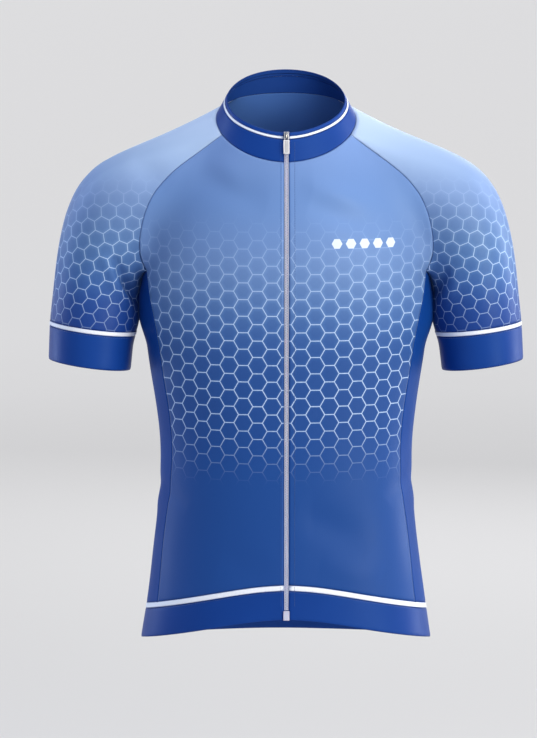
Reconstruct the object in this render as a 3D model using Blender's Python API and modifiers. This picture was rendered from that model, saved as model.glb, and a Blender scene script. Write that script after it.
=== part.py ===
"""Short-sleeved cycling jersey with a full-length front zip, hollow and in its worn shape.

The wearer faces -Y, +Z is up and the wearer's left is at +X. The origin is the middle of the
neck opening, level with the collar seam at the sides, where a neck and shoulders hold it up.
Tables and sizes are in millimetres, and every mesh is made in metres.

The cloth pieces share one form: a torso given by sections, joined softly to two arms given by
rings. Each piece is a grid of points on that form, between its own seam lines, and a Solidify
modifier gives it the thickness of the cloth.
"""

import math

import bmesh
import bpy
import numpy as np

MM = 0.001
CLOTH = 1.2  # thickness of a panel
SEAM_GAP = 0.9  # space between two panels at a seam
UP, FRONT = np.array([0.0, 0.0, 1.0]), np.array([0.0, -1.0, 0.0])

# Torso sections, top to bottom: height, half width, and depth in front of and behind the middle.
TORSO = np.array([
    (60, 62, 44, 60),
    (20, 76, 55, 73),
    (-15, 92, 71, 90),
    (-45, 114, 89, 101),
    (-80, 140, 105, 108),
    (-120, 158, 118, 112),
    (-165, 168, 124, 112),
    (-220, 168, 121, 105),
    (-271, 162, 114, 96),
    (-320, 154, 109, 88),
    (-365, 149, 106, 84),
    (-434, 151, 107, 90),
    (-505, 159, 110, 102),
    (-560, 166, 113, 110),
    (-610, 174, 116, 117),
    (-660, 180, 119, 121),
], float)
ROUNDNESS = 2.25  # exponent of a section's superellipse; 2 is an ellipse

# Rings along the middle line of the left shoulder and arm: x, y, z, half width and half depth.
ARM = np.array([
    (20, 26, -14, 55, 46),
    (80, 21, -37, 56, 51),
    (122, 14, -58, 56.5, 60),
    (160, 9, -72, 58, 67),
    (190, 6, -94, 62.5, 69),
    (204, 5, -121, 60, 67),
    (214, 4, -148, 55.5, 63),
    (222, 2, -178, 50.5, 59),
    (227, 1, -222, 50.5, 57),
    (231.5, 0, -275, 49, 56),
    (236, -2, -330, 48.5, 55),
], float)
ARM_STEPS = 64
UNDERARM_Z = -168
UNDERARM_MARGIN, UNDERARM_SLOPE, TORSO_SLOPE = 8, 5, 2  # how arm and torso give way to each other below it
ARMPIT_START, ARMPIT_RISE = -160, 8  # the arm and the body part over this height and this depth
ARMPIT_END, ARMPIT_FADE, ARMPIT_WIDTH, ARMPIT_GAP = -250, 70, 192, 2.2
FOLD_SOFT, FOLD_TIGHT = 36, 4  # how widely arm and torso blend, at the shoulder and the underarm
FOLD_RISE = 80  # height over which the blend goes from tight to soft
NECK_FOLD_Z, NECK_FOLD_RISE, NECK_TIGHTENING = -50, 60, 0.7  # it tightens again towards the collar
MIDDLE_Y = 4.0  # a depth that is inside the form at every height
FURTHEST, HALVINGS = 260, 36  # how far a ray looks for the form's surface, and how finely

# Seams beside the side panel: height, and the angle of the front and the back seam from the front.
SIDE_SEAM = np.array([
    (-163, 78, 102.5),
    (-185, 72.5, 107.5),
    (-215, 69, 110),
    (-264, 68, 112),
    (-360, 67.5, 113),
    (-400, 68.5, 112),
    (-476, 71.5, 110),
    (-541, 71, 110),
    (-620, 72, 109),
], float)

# Raglan seams from the underarm to the collar, as seen from the front and from the back.
RAGLAN_FRONT = np.array([
    (168, -163), (172, -140), (171, -118), (166, -94), (157, -71), (143, -54), (127, -41),
    (110, -30), (97, -21), (75, -5),
], float)
RAGLAN_BACK = np.array([
    (168, -163), (171, -135), (168, -105), (162, -76), (150, -48), (132, -24), (112, -5),
    (92, 9), (62, 35),
], float)

# Collar: half width, front and back depth, and height at the front, side and back.
COLLAR_BASE = dict(half_width=83, front=82, back=68, z_front=-34, z_side=14, z_back=42)
COLLAR_TOP = dict(half_width=70, front=68, back=60, z_front=2, z_side=37, z_back=70)
COLLAR_DIP, COLLAR_DIP_SPREAD = 2.5, 0.45  # how far the top edge dips beside the zip; radians
COLLAR_FRONT_ANGLE, COLLAR_BACK_ANGLE = 64.6, 132  # where the raglan seams meet the collar
PIPING_TOP, PIPING_BOTTOM = 4.9, 8.1  # the pale line, measured down from the top edge

HEM = dict(z_front=-562, z_side=-601, z_back=-612)
HEM_BAND, HEM_STRIPE = 34.5, 6.2
CUFF_LINES = {  # outer and inner ends of each line across the arm: x, z
    "sleeve_end": ((277.4, -223.4), (178.3, -236.5)),
    "stripe_end": ((277.7, -228.2), (178.7, -241.5)),
    "cuff_end": ((279.8, -268.4), (183.0, -281.8)),
}

ZIP_EDGE = 2.75  # from the middle to the edge of each front
COIL_WIDTH, COIL_THICK, COIL_PROUD = 4.7, 2.0, 0.5
TAPE_INNER, TAPE_OUTER, TAPE_THICK, TAPE_DEPTH = 3.3, 14.0, 0.7, 1.6
ZIP_STEP = 2.0  # least distance between two rows of the zip's points, and half the length a part sits on
STOP_FLANGE, STOP_CORE = (7.0, 1.8, 11.0), (4.4, 2.6, 10.0)
STOP_FLANGE_Y, STOP_CORE_Y = -0.5, -1.0  # back of the flange, front of the core
STOP_ABOVE_HEM, STOP_TO_COIL, SLIDER_TO_COIL, TAPE_ENDS = 0.3, 1.0, 0.5, 1.0

# The slider, in its own frame: its middle is on the cloth's surface, -Y outwards, +Z up the zip.
SLIDER_DOWN = 5.0  # from the collar's top edge to the slider's middle
PLATE = (6.4, 2.4, 9.6)
PLATE_FACE = -3.2  # y of the front plate's outer face
BACK_PLATE, BACK_PLATE_Y = (6.2, 1.0, 8.0), 2.4
NECK = (2.2, 5.0, 2.4)
NECK_Y, NECK_Z = 0.1, 3.2
PLATE_BEVEL, BACK_PLATE_BEVEL, STOP_BEVEL, TAB_BEVEL, ARM_BEVEL = 0.6, 0.3, 0.5, 0.5, 0.2
BRIDGE_SPAN, BRIDGE_RISE, BRIDGE_WIRE = 7.6, 2.9, 0.9  # arch over the front plate
BRIDGE_POINTS, BRIDGE_SINK = 15, 0.12  # its ends go this many radians past the plate's face
PIVOT_Y = -4.2  # the tab's bar, under the bridge
TAB_BAR, TAB_ARM, TAB_ARM_X, ARM_SINK = 0.65, 1.1, 2.05, 1.0
TAB_WIDTH, TAB_THICK, TAB_TOP, TAB_END = 7.0, 1.5, -6.0, -23.0

POCKET_FIRST_ROW, POCKET_LAST_ROW, POCKET_FIRST_COLUMN = 2, 9, 1
POCKET_COUNT, POCKET_OUT, POCKET_THICK, POCKET_BULGE = 3, 1.5, 1.0, 3.0
POCKET_BINDING = 0.38  # share of the last row that the elastic binding takes

SEAM_SMOOTHINGS, RELAXATIONS = 2, 3
EVENNESS = 1.6  # how much closer in angle a panel's columns lie towards its sides
FADE_ROWS = 5  # rows over which a panel eases from the form to the collar seam
COLLAR_ROWS = 3
FRONT_COLUMNS, BACK_COLUMNS, SIDE_COLUMNS, SHOULDER_COLUMNS = 8, 12, 6, 5
SIDE_ROWS, RAGLAN_ROWS, SLEEVE_ROWS = 14, 10, 9
ZIP_SHELF = -190  # the row that starts at the underarm is this high at the zip
UNDERARM_SAG = 6  # how far the side panel's top edge dips in its middle
UNDERARM_TURN, SHOULDER_TURN = 140, 22  # degrees from the arm's outer side to the raglan seam's ends
LEAN_FADE, MISFIT_FADE = 1.5, 6  # how fast the sleeve's rings leave the shape of the raglan seam

BEVEL_STEPS, ROD_SIDES = 2, 16
SHARP_ANGLE = math.radians(40)  # edges of the small parts that are sharper than this stay crisp

COLOURS = {  # base colour, roughness and metallic value of each material
    "body knit": ((0.10, 0.22, 0.55, 1), 0.55, 0.0),
    "side knit": ((0.03, 0.09, 0.40, 1), 0.55, 0.0),
    "band knit": ((0.03, 0.10, 0.42, 1), 0.5, 0.0),
    "white tape": ((0.85, 0.87, 0.93, 1), 0.5, 0.0),
    "zip coil": ((0.55, 0.57, 0.66, 1), 0.4, 0.0),
    "zip tape": ((0.05, 0.10, 0.35, 1), 0.7, 0.0),
    "satin metal": ((0.72, 0.73, 0.76, 1), 0.3, 1.0),
    "pull rubber": ((0.80, 0.80, 0.82, 1), 0.45, 0.0),
}


def along(keys, values, at):
    """Smooth curve through table rows (Catmull-Rom on the key column)."""
    keys, values, at = np.asarray(keys, float), np.asarray(values, float), np.asarray(at, float)
    if keys[0] > keys[-1]:
        keys, values = keys[::-1], values[::-1]
    row = np.clip(np.searchsorted(keys, at) - 1, 0, len(keys) - 2)
    span = keys[row + 1] - keys[row]
    t = np.clip((at - keys[row]) / span, 0, 1)
    slope = np.gradient(values, keys, axis=0)
    if values.ndim > 1:
        span, t = span[..., None], t[..., None]
    start = (2 * t**3 - 3 * t**2 + 1) * values[row] + (t**3 - 2 * t**2 + t) * span * slope[row]
    end = (3 * t**2 - 2 * t**3) * values[row + 1] + (t**3 - t**2) * span * slope[row + 1]
    return start + end


def polyline_lengths(points):
    return np.concatenate([[0], np.cumsum(np.linalg.norm(np.diff(points, axis=0), axis=1))])


def smooth_step(t):
    t = np.clip(t, 0, 1)
    return t * t * (3 - 2 * t)


# The form: distances below zero are inside the body that fills the jersey.


def torso_distance(points):
    half_width, front, back = np.moveaxis(along(TORSO[:, 0], TORSO[:, 1:], points[..., 2]), -1, 0)
    x, y = np.abs(points[..., 0]), points[..., 1]
    depth = np.where(y < 0, front, back)
    share = ((x / half_width) ** ROUNDNESS + (np.abs(y) / depth) ** ROUNDNESS) ** (1 / ROUNDNESS)
    return (share - 1) * np.hypot(x, y) / np.maximum(share, 1e-6)


ARM_LENGTHS = polyline_lengths(ARM[:, :3])
ARM_LINE = along(ARM_LENGTHS, ARM, np.linspace(0, ARM_LENGTHS[-1], ARM_STEPS))


def arm_distance(points):
    mirrored = points.copy()
    mirrored[..., 0] = np.abs(mirrored[..., 0])
    nearest = np.full(points.shape[:-1], np.inf)
    for start, end in zip(ARM_LINE[:-1], ARM_LINE[1:]):
        flatten = np.array([1, start[3] / start[4], 1])
        step = (end[:3] - start[:3]) * flatten
        offset = (mirrored - start[:3]) * flatten
        t = np.clip(offset @ step / (step @ step), 0, 1)
        gap = np.linalg.norm(offset - t[..., None] * step, axis=-1)
        nearest = np.minimum(nearest, gap - (start[3] + (end[3] - start[3]) * t))
    return nearest


def joined(first, second, height):
    """Soft union: wide at the shoulder, and a tight fold at the underarm."""
    rise = smooth_step((height - UNDERARM_Z) / FOLD_RISE)
    near_neck = smooth_step((height - NECK_FOLD_Z) / NECK_FOLD_RISE)
    width = FOLD_TIGHT + (FOLD_SOFT - FOLD_TIGHT) * rise * (1 - NECK_TIGHTENING * near_neck)
    share = np.maximum(width - np.abs(first - second), 0) / width
    return np.minimum(first, second) - share * share * width / 4


def below_underarm(height):
    return UNDERARM_SLOPE * np.maximum(UNDERARM_Z + UNDERARM_MARGIN - height, 0)


def torso_form(points):
    z = points[..., 2]
    return joined(torso_distance(points), arm_distance(points) + below_underarm(z), z)


def sleeve_form(points):
    z = points[..., 2]
    torso = np.maximum(torso_distance(points), -FOLD_SOFT) + TORSO_SLOPE * below_underarm(z)
    return joined(torso, arm_distance(points), z)


def reach(origins, directions, form):
    """The point where each ray from inside leaves the form."""
    near = np.zeros(origins.shape[:-1])
    far = np.full(origins.shape[:-1], float(FURTHEST))
    for _ in range(HALVINGS):
        middle = (near + far) / 2
        inside = form(origins + directions * middle[..., None]) < 0
        near = np.where(inside, middle, near)
        far = np.where(inside, far, middle)
    return origins + directions * near[..., None]


def on_front_or_back(xz, facing):
    """Points with these x and z on the front (facing -1) or the back (+1) of the form."""
    origins = np.stack([xz[..., 0], np.full(xz.shape[:-1], MIDDLE_Y), xz[..., 1]], -1)
    return reach(origins, np.array([0.0, facing, 0.0]), torso_form)


def round_torso(angles, heights):
    """Points on the torso at these angles from the front, towards +X."""
    angles, heights = np.broadcast_arrays(np.radians(angles), heights)
    directions = np.stack([np.sin(angles), -np.cos(angles), np.zeros(angles.shape)], -1)
    origins = directions * 0 + heights[..., None] * UP
    return reach(origins, directions, torso_distance)


# Seam lines.


def ring_heights(front, side, back, angles):
    """A height that is given at the front, the side and the back, at angles in radians."""
    middle = (front + back + 2 * side) / 4
    tilt, saddle = (front - back) / 2, (front + back - 2 * side) / 4
    return middle + tilt * np.cos(angles) + saddle * np.cos(2 * angles)


def collar_ring(ring, degrees, dip=0.0):
    angles = np.radians(degrees)
    depth = np.where(np.cos(angles) > 0, ring["front"], ring["back"])
    height = ring_heights(ring["z_front"], ring["z_side"], ring["z_back"], angles)
    from_front = np.minimum(angles, 2 * math.pi - angles)
    height = height - dip * np.exp(-((from_front / COLLAR_DIP_SPREAD) ** 2))
    return np.stack([ring["half_width"] * np.sin(angles), -depth * np.cos(angles), height], -1)


ZIP_ANGLE = math.degrees(math.asin(ZIP_EDGE / COLLAR_BASE["half_width"]))
COLLAR_FRONT = np.linspace(ZIP_ANGLE, COLLAR_FRONT_ANGLE, FRONT_COLUMNS + 1)
COLLAR_SHOULDER = np.linspace(COLLAR_FRONT_ANGLE, COLLAR_BACK_ANGLE, SHOULDER_COLUMNS + 1)
COLLAR_BACK = np.linspace(COLLAR_BACK_ANGLE, 360 - COLLAR_BACK_ANGLE, BACK_COLUMNS + 1)


def hem_heights(angles_degrees):
    return ring_heights(HEM["z_front"], HEM["z_side"], HEM["z_back"], np.radians(angles_degrees))


def side_seam_points(column, rows, bottom_rise):
    """Points up the side seam in front (column 1) or behind (column 2), from the hem stripe."""
    top = SIDE_SEAM[0, 0]
    low_angle = along(SIDE_SEAM[:, 0], SIDE_SEAM[:, column], HEM["z_side"])
    bottom = hem_heights(low_angle) + bottom_rise
    heights = np.linspace(bottom, top, rows + 1)
    return round_torso(along(SIDE_SEAM[:, 0], SIDE_SEAM[:, column], heights), heights)


def raglan_points(table, facing, start, end):
    """Points up a raglan seam, evenly spaced, from the underarm to the collar."""
    route = table.copy()
    route[-1] = end[[0, 2]]
    lengths = polyline_lengths(route)
    points = on_front_or_back(along(lengths, route, np.linspace(0, lengths[-1], RAGLAN_ROWS + 1)), facing)
    points[0] = start
    points = eased(points, end)
    for _ in range(SEAM_SMOOTHINGS):
        points[2:-1] = (points[1:-2] + 2 * points[2:-1] + points[3:]) / 4
    return points


def eased(points, end):
    """Rows of points that ease from the form to the collar seam over the last few rows."""
    points = points.copy()
    misfit = end - points[-1]
    for step in range(FADE_ROWS):
        points[-1 - step] += misfit * (1 - step / FADE_ROWS) ** 2
    return points


def hem_edge(angles, rise):
    """Points round the torso, this far above the hem."""
    return round_torso(angles, hem_heights(angles) + rise)


BODY_RISE = HEM_BAND + HEM_STRIPE
FRONT_SIDE = side_seam_points(1, SIDE_ROWS, BODY_RISE)
BACK_SIDE = side_seam_points(2, SIDE_ROWS, BODY_RISE)
FRONT_RAGLAN = raglan_points(RAGLAN_FRONT, -1, FRONT_SIDE[-1], collar_ring(COLLAR_BASE, COLLAR_FRONT_ANGLE))
BACK_RAGLAN = raglan_points(RAGLAN_BACK, 1, BACK_SIDE[-1], collar_ring(COLLAR_BASE, COLLAR_BACK_ANGLE))
MIRROR = np.array([-1.0, 1.0, 1.0])


def angle_of(points):
    return np.degrees(np.arctan2(points[..., 0], -points[..., 1]))


HEM_FRONT_END, HEM_BACK_END = float(angle_of(FRONT_SIDE[0])), float(angle_of(BACK_SIDE[0]))


def evenly(count, start, end):
    """Angles from start to end whose points are about evenly spaced across the flat front or back."""
    first, last = (math.tan(math.radians(angle) / EVENNESS) for angle in (start, end))
    return np.degrees(EVENNESS * np.arctan(np.linspace(first, last, count + 1)))


HEM_FRONT = evenly(FRONT_COLUMNS, math.degrees(math.atan2(ZIP_EDGE, TORSO[-2, 2])), HEM_FRONT_END)
HEM_SIDE = np.linspace(HEM_FRONT_END, HEM_BACK_END, SIDE_COLUMNS + 1)
HEM_BACK = 180 + evenly(BACK_COLUMNS, HEM_BACK_END - 180, 180 - HEM_BACK_END)


def coons(bottom, top, left, right):
    """Grid between four edges that meet at the corners: rows go up, columns go left to right."""
    u = np.linspace(0, 1, len(bottom))[None, :, None]
    lengths = (polyline_lengths(left) + polyline_lengths(right)) / 2
    v = (lengths / lengths[-1])[:, None, None]
    across = (1 - v) * bottom[None] + v * top[None]
    upward = (1 - u) * left[:, None] + u * right[:, None]
    corners = (1 - v) * ((1 - u) * bottom[0] + u * bottom[-1]) + v * ((1 - u) * top[0] + u * top[-1])
    return across + upward - corners


def relaxed(grid, rows, around=False):
    """The grid with the inner points of its last rows drawn towards the middle of their neighbours."""
    grid = grid.copy()
    share = np.linspace(0, 1, rows)[:, None, None] ** 0.5 / 2
    for _ in range(RELAXATIONS):
        part = grid[-rows - 1:-1]
        beside = (np.roll(part, 1, 1) + np.roll(part, -1, 1)) / 2
        above = (grid[-rows - 2:-2] + grid[-rows:]) / 2
        moved = part + share * ((beside + above) / 2 - part)
        if around:
            grid[-rows - 1:-1] = moved
        else:
            grid[-rows - 1:-1, 1:-1] = moved[:, 1:-1]
    return grid


def panel(bottom, top, left, right, facing):
    """A front or back panel: seen flat it fills its edges, and its depth is the form's."""
    flat = coons(bottom, top, left, right)
    grid = eased(on_front_or_back(flat[..., [0, 2]], facing), top)
    grid[0], grid[:, 0], grid[:, -1] = bottom, left, right
    return grid


def zip_line(heights):
    """Points in the middle of the front, up to the collar seam."""
    return on_front_or_back(np.stack([np.full(len(heights), ZIP_EDGE), heights], -1), -1)


def front_panel():
    bottom = hem_edge(HEM_FRONT, BODY_RISE)
    top = collar_ring(COLLAR_BASE, COLLAR_FRONT)
    heights = np.concatenate([
        np.linspace(bottom[0, 2], ZIP_SHELF, SIDE_ROWS + 1),
        np.linspace(ZIP_SHELF, top[0, 2], RAGLAN_ROWS + 1)[1:],
    ])
    left = eased(zip_line(heights), top[0])
    bottom[0], bottom[-1], top[-1] = left[0], FRONT_SIDE[0], FRONT_RAGLAN[-1]
    return panel(bottom, top, left, np.concatenate([FRONT_SIDE, FRONT_RAGLAN[1:]]), -1)


def back_panel():
    bottom = hem_edge(HEM_BACK, BODY_RISE)
    top = collar_ring(COLLAR_BASE, COLLAR_BACK)
    left = np.concatenate([BACK_SIDE, BACK_RAGLAN[1:]])
    bottom[0], bottom[-1], top[0], top[-1] = left[0], left[0] * MIRROR, left[-1], left[-1] * MIRROR
    return relaxed(panel(bottom, top, left, left * MIRROR, 1), RAGLAN_ROWS)


def underarm_points():
    """The side panel's top edge, from the front seam to the back seam."""
    share = np.linspace(0, 1, SIDE_COLUMNS + 1)
    start, end = angle_of(FRONT_SIDE[-1]), angle_of(BACK_SIDE[-1])
    heights = SIDE_SEAM[0, 0] - UNDERARM_SAG * np.sin(share * math.pi)
    points = round_torso(start + (end - start) * share, heights)
    points[0], points[-1] = FRONT_SIDE[-1], BACK_SIDE[-1]
    return points


def kept_apart(grid, side):
    """Moves points just under the armpit sideways, so that the sleeve and the side panel part there."""
    x, z = grid[..., 0], grid[..., 2]
    below = np.clip((z - ARMPIT_END) / ARMPIT_FADE, 0, 1) * np.clip((ARMPIT_START - z) / ARMPIT_RISE, 0, 1)
    inner = np.clip((ARMPIT_WIDTH - x) / ARMPIT_RISE, 0, 1)
    grid = grid.copy()
    grid[..., 0] += side * ARMPIT_GAP * below * inner
    return grid


def side_panel():
    underarm = underarm_points()
    share = np.linspace(0, 1, SIDE_ROWS + 1)[:, None]
    front, back = angle_of(FRONT_SIDE)[:, None], angle_of(BACK_SIDE)[:, None]
    across = np.linspace(0, 1, SIDE_COLUMNS + 1)[None]
    angles = front + (back - front) * across
    bottom = hem_heights(HEM_SIDE) + BODY_RISE
    heights = bottom + (underarm[:, 2] - bottom) * share
    grid = kept_apart(round_torso(angles, heights), -1)
    grid[:, 0], grid[:, -1], grid[-1] = FRONT_SIDE, BACK_SIDE, underarm
    return grid


# The sleeve: rings between the outer and the inner line of the arm.

OUTER_LINE = np.array([
    (83, 14), (122, 3), (172, -14), (206, -30), (228, -44), (246, -65), (257, -91), (265, -125),
    (271, -160), (275, -195), (277.4, -223.4),
], float)
INNER_LINE = np.array([(170, -167), (172.5, -200), (178.3, -236.5)], float)
RING_DEPTH = 60
RING_TURNS = np.concatenate([  # degrees round the arm from its outer side, towards the front
    np.linspace(UNDERARM_TURN, SHOULDER_TURN, RAGLAN_ROWS + 1),
    np.linspace(SHOULDER_TURN, -SHOULDER_TURN, SHOULDER_COLUMNS + 1)[1:],
    np.linspace(-SHOULDER_TURN, -UNDERARM_TURN, RAGLAN_ROWS + 1)[1:],
    np.linspace(-UNDERARM_TURN, UNDERARM_TURN - 360, SIDE_COLUMNS + 1)[1:-1],
])


def spaced(table, share):
    lengths = polyline_lengths(table)
    return along(lengths, table, share * lengths[-1])


def ring_guess(outer, inner):
    """A flat oval between two ends, and for each of its points a start inside the arm."""
    turns = np.radians(RING_TURNS)[:, None]
    outer = np.array([outer[0], MIDDLE_Y, outer[1]])
    inner = np.array([inner[0], MIDDLE_Y, inner[1]])
    middle = (outer + inner) / 2
    oval = middle + (outer - inner) / 2 * np.cos(turns) + RING_DEPTH * np.sin(turns) * FRONT
    in_arm = along(-ARM[:, 2], ARM[:, :3], -inner[2])
    inwards = (1 - np.cos(turns)) / 2
    return oval, middle + (in_arm - middle) * inwards


def onto_arm(points, starts):
    directions = points - starts
    directions /= np.linalg.norm(directions, axis=-1, keepdims=True)
    return reach(starts, directions, sleeve_form)


def arm_ring(outer, inner):
    return onto_arm(*ring_guess(outer, inner))


def raglan_loop():
    """The sleeve's top edge: up the front, along the collar, down the back, under the arm."""
    shoulder = collar_ring(COLLAR_BASE, COLLAR_SHOULDER)
    return np.concatenate([
        FRONT_RAGLAN, shoulder[1:], BACK_RAGLAN[::-1][1:], underarm_points()[::-1][1:-1],
    ])


def sleeve():
    loop = raglan_loop()
    first_oval, first_starts = ring_guess(OUTER_LINE[0], INNER_LINE[0])
    lean = loop - first_oval
    misfit = loop - onto_arm(loop, first_starts)
    rings = [loop]
    for step in range(1, SLEEVE_ROWS + 1):
        share = step / SLEEVE_ROWS
        oval, starts = ring_guess(spaced(OUTER_LINE, share), spaced(INNER_LINE, share))
        ring = onto_arm(oval + lean * (1 - share) ** LEAN_FADE, starts)
        rings.append(kept_apart(ring + misfit * (1 - share) ** MISFIT_FADE, 1))
    return relaxed(np.array(rings)[::-1], SLEEVE_ROWS // 2, around=True)


def cuff_grid(lower, upper, rows):
    """Rings of a cuff piece from one line across the arm up to another."""
    low, high = np.array(CUFF_LINES[lower]), np.array(CUFF_LINES[upper])
    return np.array([arm_ring(*(low + (high - low) * t)) for t in np.linspace(0, 1, rows + 1)])


def hem_grid(low, high, rows):
    """The band or stripe of the hem, from the left front edge round to the right one."""
    half = np.concatenate([HEM_FRONT, HEM_SIDE[1:]])
    angles = np.concatenate([half, HEM_BACK[1:], 360 - half[::-1][1:]])
    return np.array([hem_edge(angles, rise) for rise in np.linspace(low, high, rows + 1)])


def whole_collar():
    return collar_grid(lambda height: 0 * height, lambda height: 0 * height + 1, COLLAR_ROWS)


def collar_grid(start, end, rows):
    """Rows of the collar between two lines, each given by its share of the height per column."""
    half = np.concatenate([COLLAR_FRONT, COLLAR_SHOULDER[1:]])
    degrees = np.concatenate([half, COLLAR_BACK[1:], 360 - half[::-1][1:]])
    base, top = collar_ring(COLLAR_BASE, degrees), collar_ring(COLLAR_TOP, degrees, COLLAR_DIP)
    top[0, 0], top[-1, 0] = ZIP_EDGE, -ZIP_EDGE
    height = np.linalg.norm(top - base, axis=-1)
    low, high = start(height), end(height)
    shares = [low + (high - low) * t for t in np.linspace(0, 1, rows + 1)]
    return np.array([base + (top - base) * share[:, None] for share in shares])


def front_edge():
    """The first two columns of points beside the zip, from the hem to the collar's top edge."""
    pieces = [
        hem_grid(0, HEM_BAND, 2)[:, :2], hem_grid(HEM_BAND, BODY_RISE, 1)[1:, :2],
        front_panel()[1:, :2], whole_collar()[1:, :2],
    ]
    return np.concatenate(pieces)


def outward(points):
    """Directions out of the cloth beside the zip, square to the line of points."""
    slope = np.gradient(points, axis=0)
    out = np.stack([0 * slope[:, 0], -slope[:, 2], slope[:, 1]], -1)
    return out / np.linalg.norm(out, axis=-1, keepdims=True)


def zip_strip(x_from, x_to, out, above_hem=0.0, below_top=0.0):
    """A strip of points beside the zip, between two distances from the middle of the front."""
    edge = front_edge()
    lengths = polyline_lengths(edge[:, 0])
    keep = np.concatenate([
        [above_hem],
        lengths[(lengths > above_hem + ZIP_STEP) & (lengths < lengths[-1] - below_top - ZIP_STEP)],
        [lengths[-1] - below_top],
    ])
    first, second = along(lengths, edge[:, 0], keep), along(lengths, edge[:, 1], keep)
    direction = outward(first)
    strip = []
    for x in (x_from, x_to):
        share = np.maximum(x - ZIP_EDGE, 0) / (second[:, :1] - ZIP_EDGE)
        points = first + (second - first) * share + direction * out
        points[:, 0] = x
        strip.append(points)
    return np.stack(strip, 1)


def normals(grid):
    up, right = np.gradient(grid, axis=0), np.gradient(grid, axis=1)
    out = np.cross(right, up)
    return out / np.linalg.norm(out, axis=-1, keepdims=True)


def pocket_grids():
    """The pocket panel and its binding: the back's own points, moved out and bulged a little."""
    back = back_panel()
    columns = slice(POCKET_FIRST_COLUMN, BACK_COLUMNS + 1 - POCKET_FIRST_COLUMN)
    rows = slice(POCKET_FIRST_ROW, POCKET_LAST_ROW + 1)
    grid, out = back[rows, columns], normals(back)[rows, columns]
    across = np.linspace(0, POCKET_COUNT, grid.shape[1]) * math.pi
    height = np.linspace(0, 1, grid.shape[0])[:, None]
    bulge = POCKET_BULGE * np.sin(across) ** 2 * height**2
    grid = grid + out * (POCKET_OUT + bulge)[..., None]
    split = grid[-2] + (grid[-1] - grid[-2]) * (1 - POCKET_BINDING)
    return np.concatenate([grid[:-1], [split]]), np.array([split, grid[-1]])


# Making the meshes.


def material(name):
    found = bpy.data.materials.get(name)
    if found:
        return found
    colour, roughness, metallic = COLOURS[name]
    made = bpy.data.materials.new(name)
    made.use_nodes = True
    shader = made.node_tree.nodes["Principled BSDF"]
    shader.inputs["Base Color"].default_value = colour
    shader.inputs["Roughness"].default_value = roughness
    shader.inputs["Metallic"].default_value = metallic
    made.diffuse_color = colour
    return made


def add_object(name, mesh, material_name, collection=None):
    thing = bpy.data.objects.new(name, mesh)
    mesh.materials.append(material(material_name))
    (collection or COLLECTION).objects.link(thing)
    return thing


def trimmed(grid, around):
    """The grid with its edges drawn in by half a seam gap, so that neighbours don't touch."""
    grid = grid.copy()
    sides = [(0, 1, 0), (-1, -2, 0)]
    if not around:
        sides += [(0, 1, 1), (-1, -2, 1)]
    inner = grid.copy()
    for edge, beside, axis in sides:
        line, next_line = np.take(inner, edge, axis), np.take(inner, beside, axis)
        step = next_line - line
        move = step / np.linalg.norm(step, axis=-1, keepdims=True) * SEAM_GAP / 2
        if axis == 0:
            grid[edge] += move
        else:
            grid[:, edge] += move
    return grid


def cloth(name, grid, material_name, around=False, thick=CLOTH, trim=True, outside=True):
    """A cloth piece from its grid of outside points; rows go up, columns from -angle to +angle."""
    if trim:
        grid = trimmed(grid, around)
    rows, columns = grid.shape[:2]
    form = bmesh.new()
    points = [[form.verts.new(point * MM) for point in row] for row in grid]
    for row in range(rows - 1):
        for column in range(columns if around else columns - 1):
            right = (column + 1) % columns
            corners = [
                points[row][column], points[row][right],
                points[row + 1][right], points[row + 1][column],
            ]
            form.faces.new(corners if outside else corners[::-1])
    mesh = bpy.data.meshes.new(name)
    form.to_mesh(mesh)
    form.free()
    thing = add_object(name, mesh, material_name)
    wall = thing.modifiers.new("cloth thickness", "SOLIDIFY")
    wall.thickness = thick * MM
    wall.offset = -1
    mesh.shade_smooth()
    return thing


def both_sides(name, grid, material_name, around=False):
    cloth(name + "_left", grid, material_name, around)
    cloth(name + "_right", grid * MIRROR, material_name, around, outside=False)


def build_cloth():
    both_sides("front", front_panel(), "body knit")
    cloth("back", back_panel(), "body knit")
    both_sides("side_panel", side_panel(), "side knit")
    both_sides("sleeve", sleeve(), "body knit", around=True)
    both_sides("cuff_stripe", cuff_grid("stripe_end", "sleeve_end", 1), "white tape", True)
    both_sides("cuff", cuff_grid("cuff_end", "stripe_end", 2), "band knit", True)
    cloth("hem_stripe", hem_grid(HEM_BAND, BODY_RISE, 1), "white tape")
    cloth("hem_band", hem_grid(0, HEM_BAND, 2), "band knit")
    cloth("collar", collar_grid(lambda h: 0 * h, lambda h: 1 - PIPING_BOTTOM / h, 2), "band knit")
    piping = collar_grid(lambda h: 1 - PIPING_BOTTOM / h, lambda h: 1 - PIPING_TOP / h, 1)
    cloth("collar_piping", piping, "white tape")
    cloth("collar_edge", collar_grid(lambda h: 1 - PIPING_TOP / h, lambda h: 0 * h + 1, 1), "band knit")
    panel_grid, binding_grid = pocket_grids()
    cloth("rear_pockets", panel_grid, "body knit", thick=POCKET_THICK)
    cloth("rear_pocket_binding", binding_grid, "band knit", thick=POCKET_THICK)


def box(name, size, location, bevel, material_name, parent=None, collection=None):
    """A box with rounded edges; sizes and places in millimetres."""
    form = bmesh.new()
    bmesh.ops.create_cube(form, size=1)
    bmesh.ops.scale(form, vec=[side * MM for side in size], verts=form.verts)
    if bevel:
        bmesh.ops.bevel(
            form, geom=form.edges[:], offset=bevel * MM, segments=BEVEL_STEPS, profile=0.5,
            affect="EDGES", material=-1,
        )
    mesh = bpy.data.meshes.new(name)
    form.to_mesh(mesh)
    form.free()
    thing = add_object(name, mesh, material_name, collection)
    thing.location = [value * MM for value in location]
    thing.parent = parent
    return thing


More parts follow.
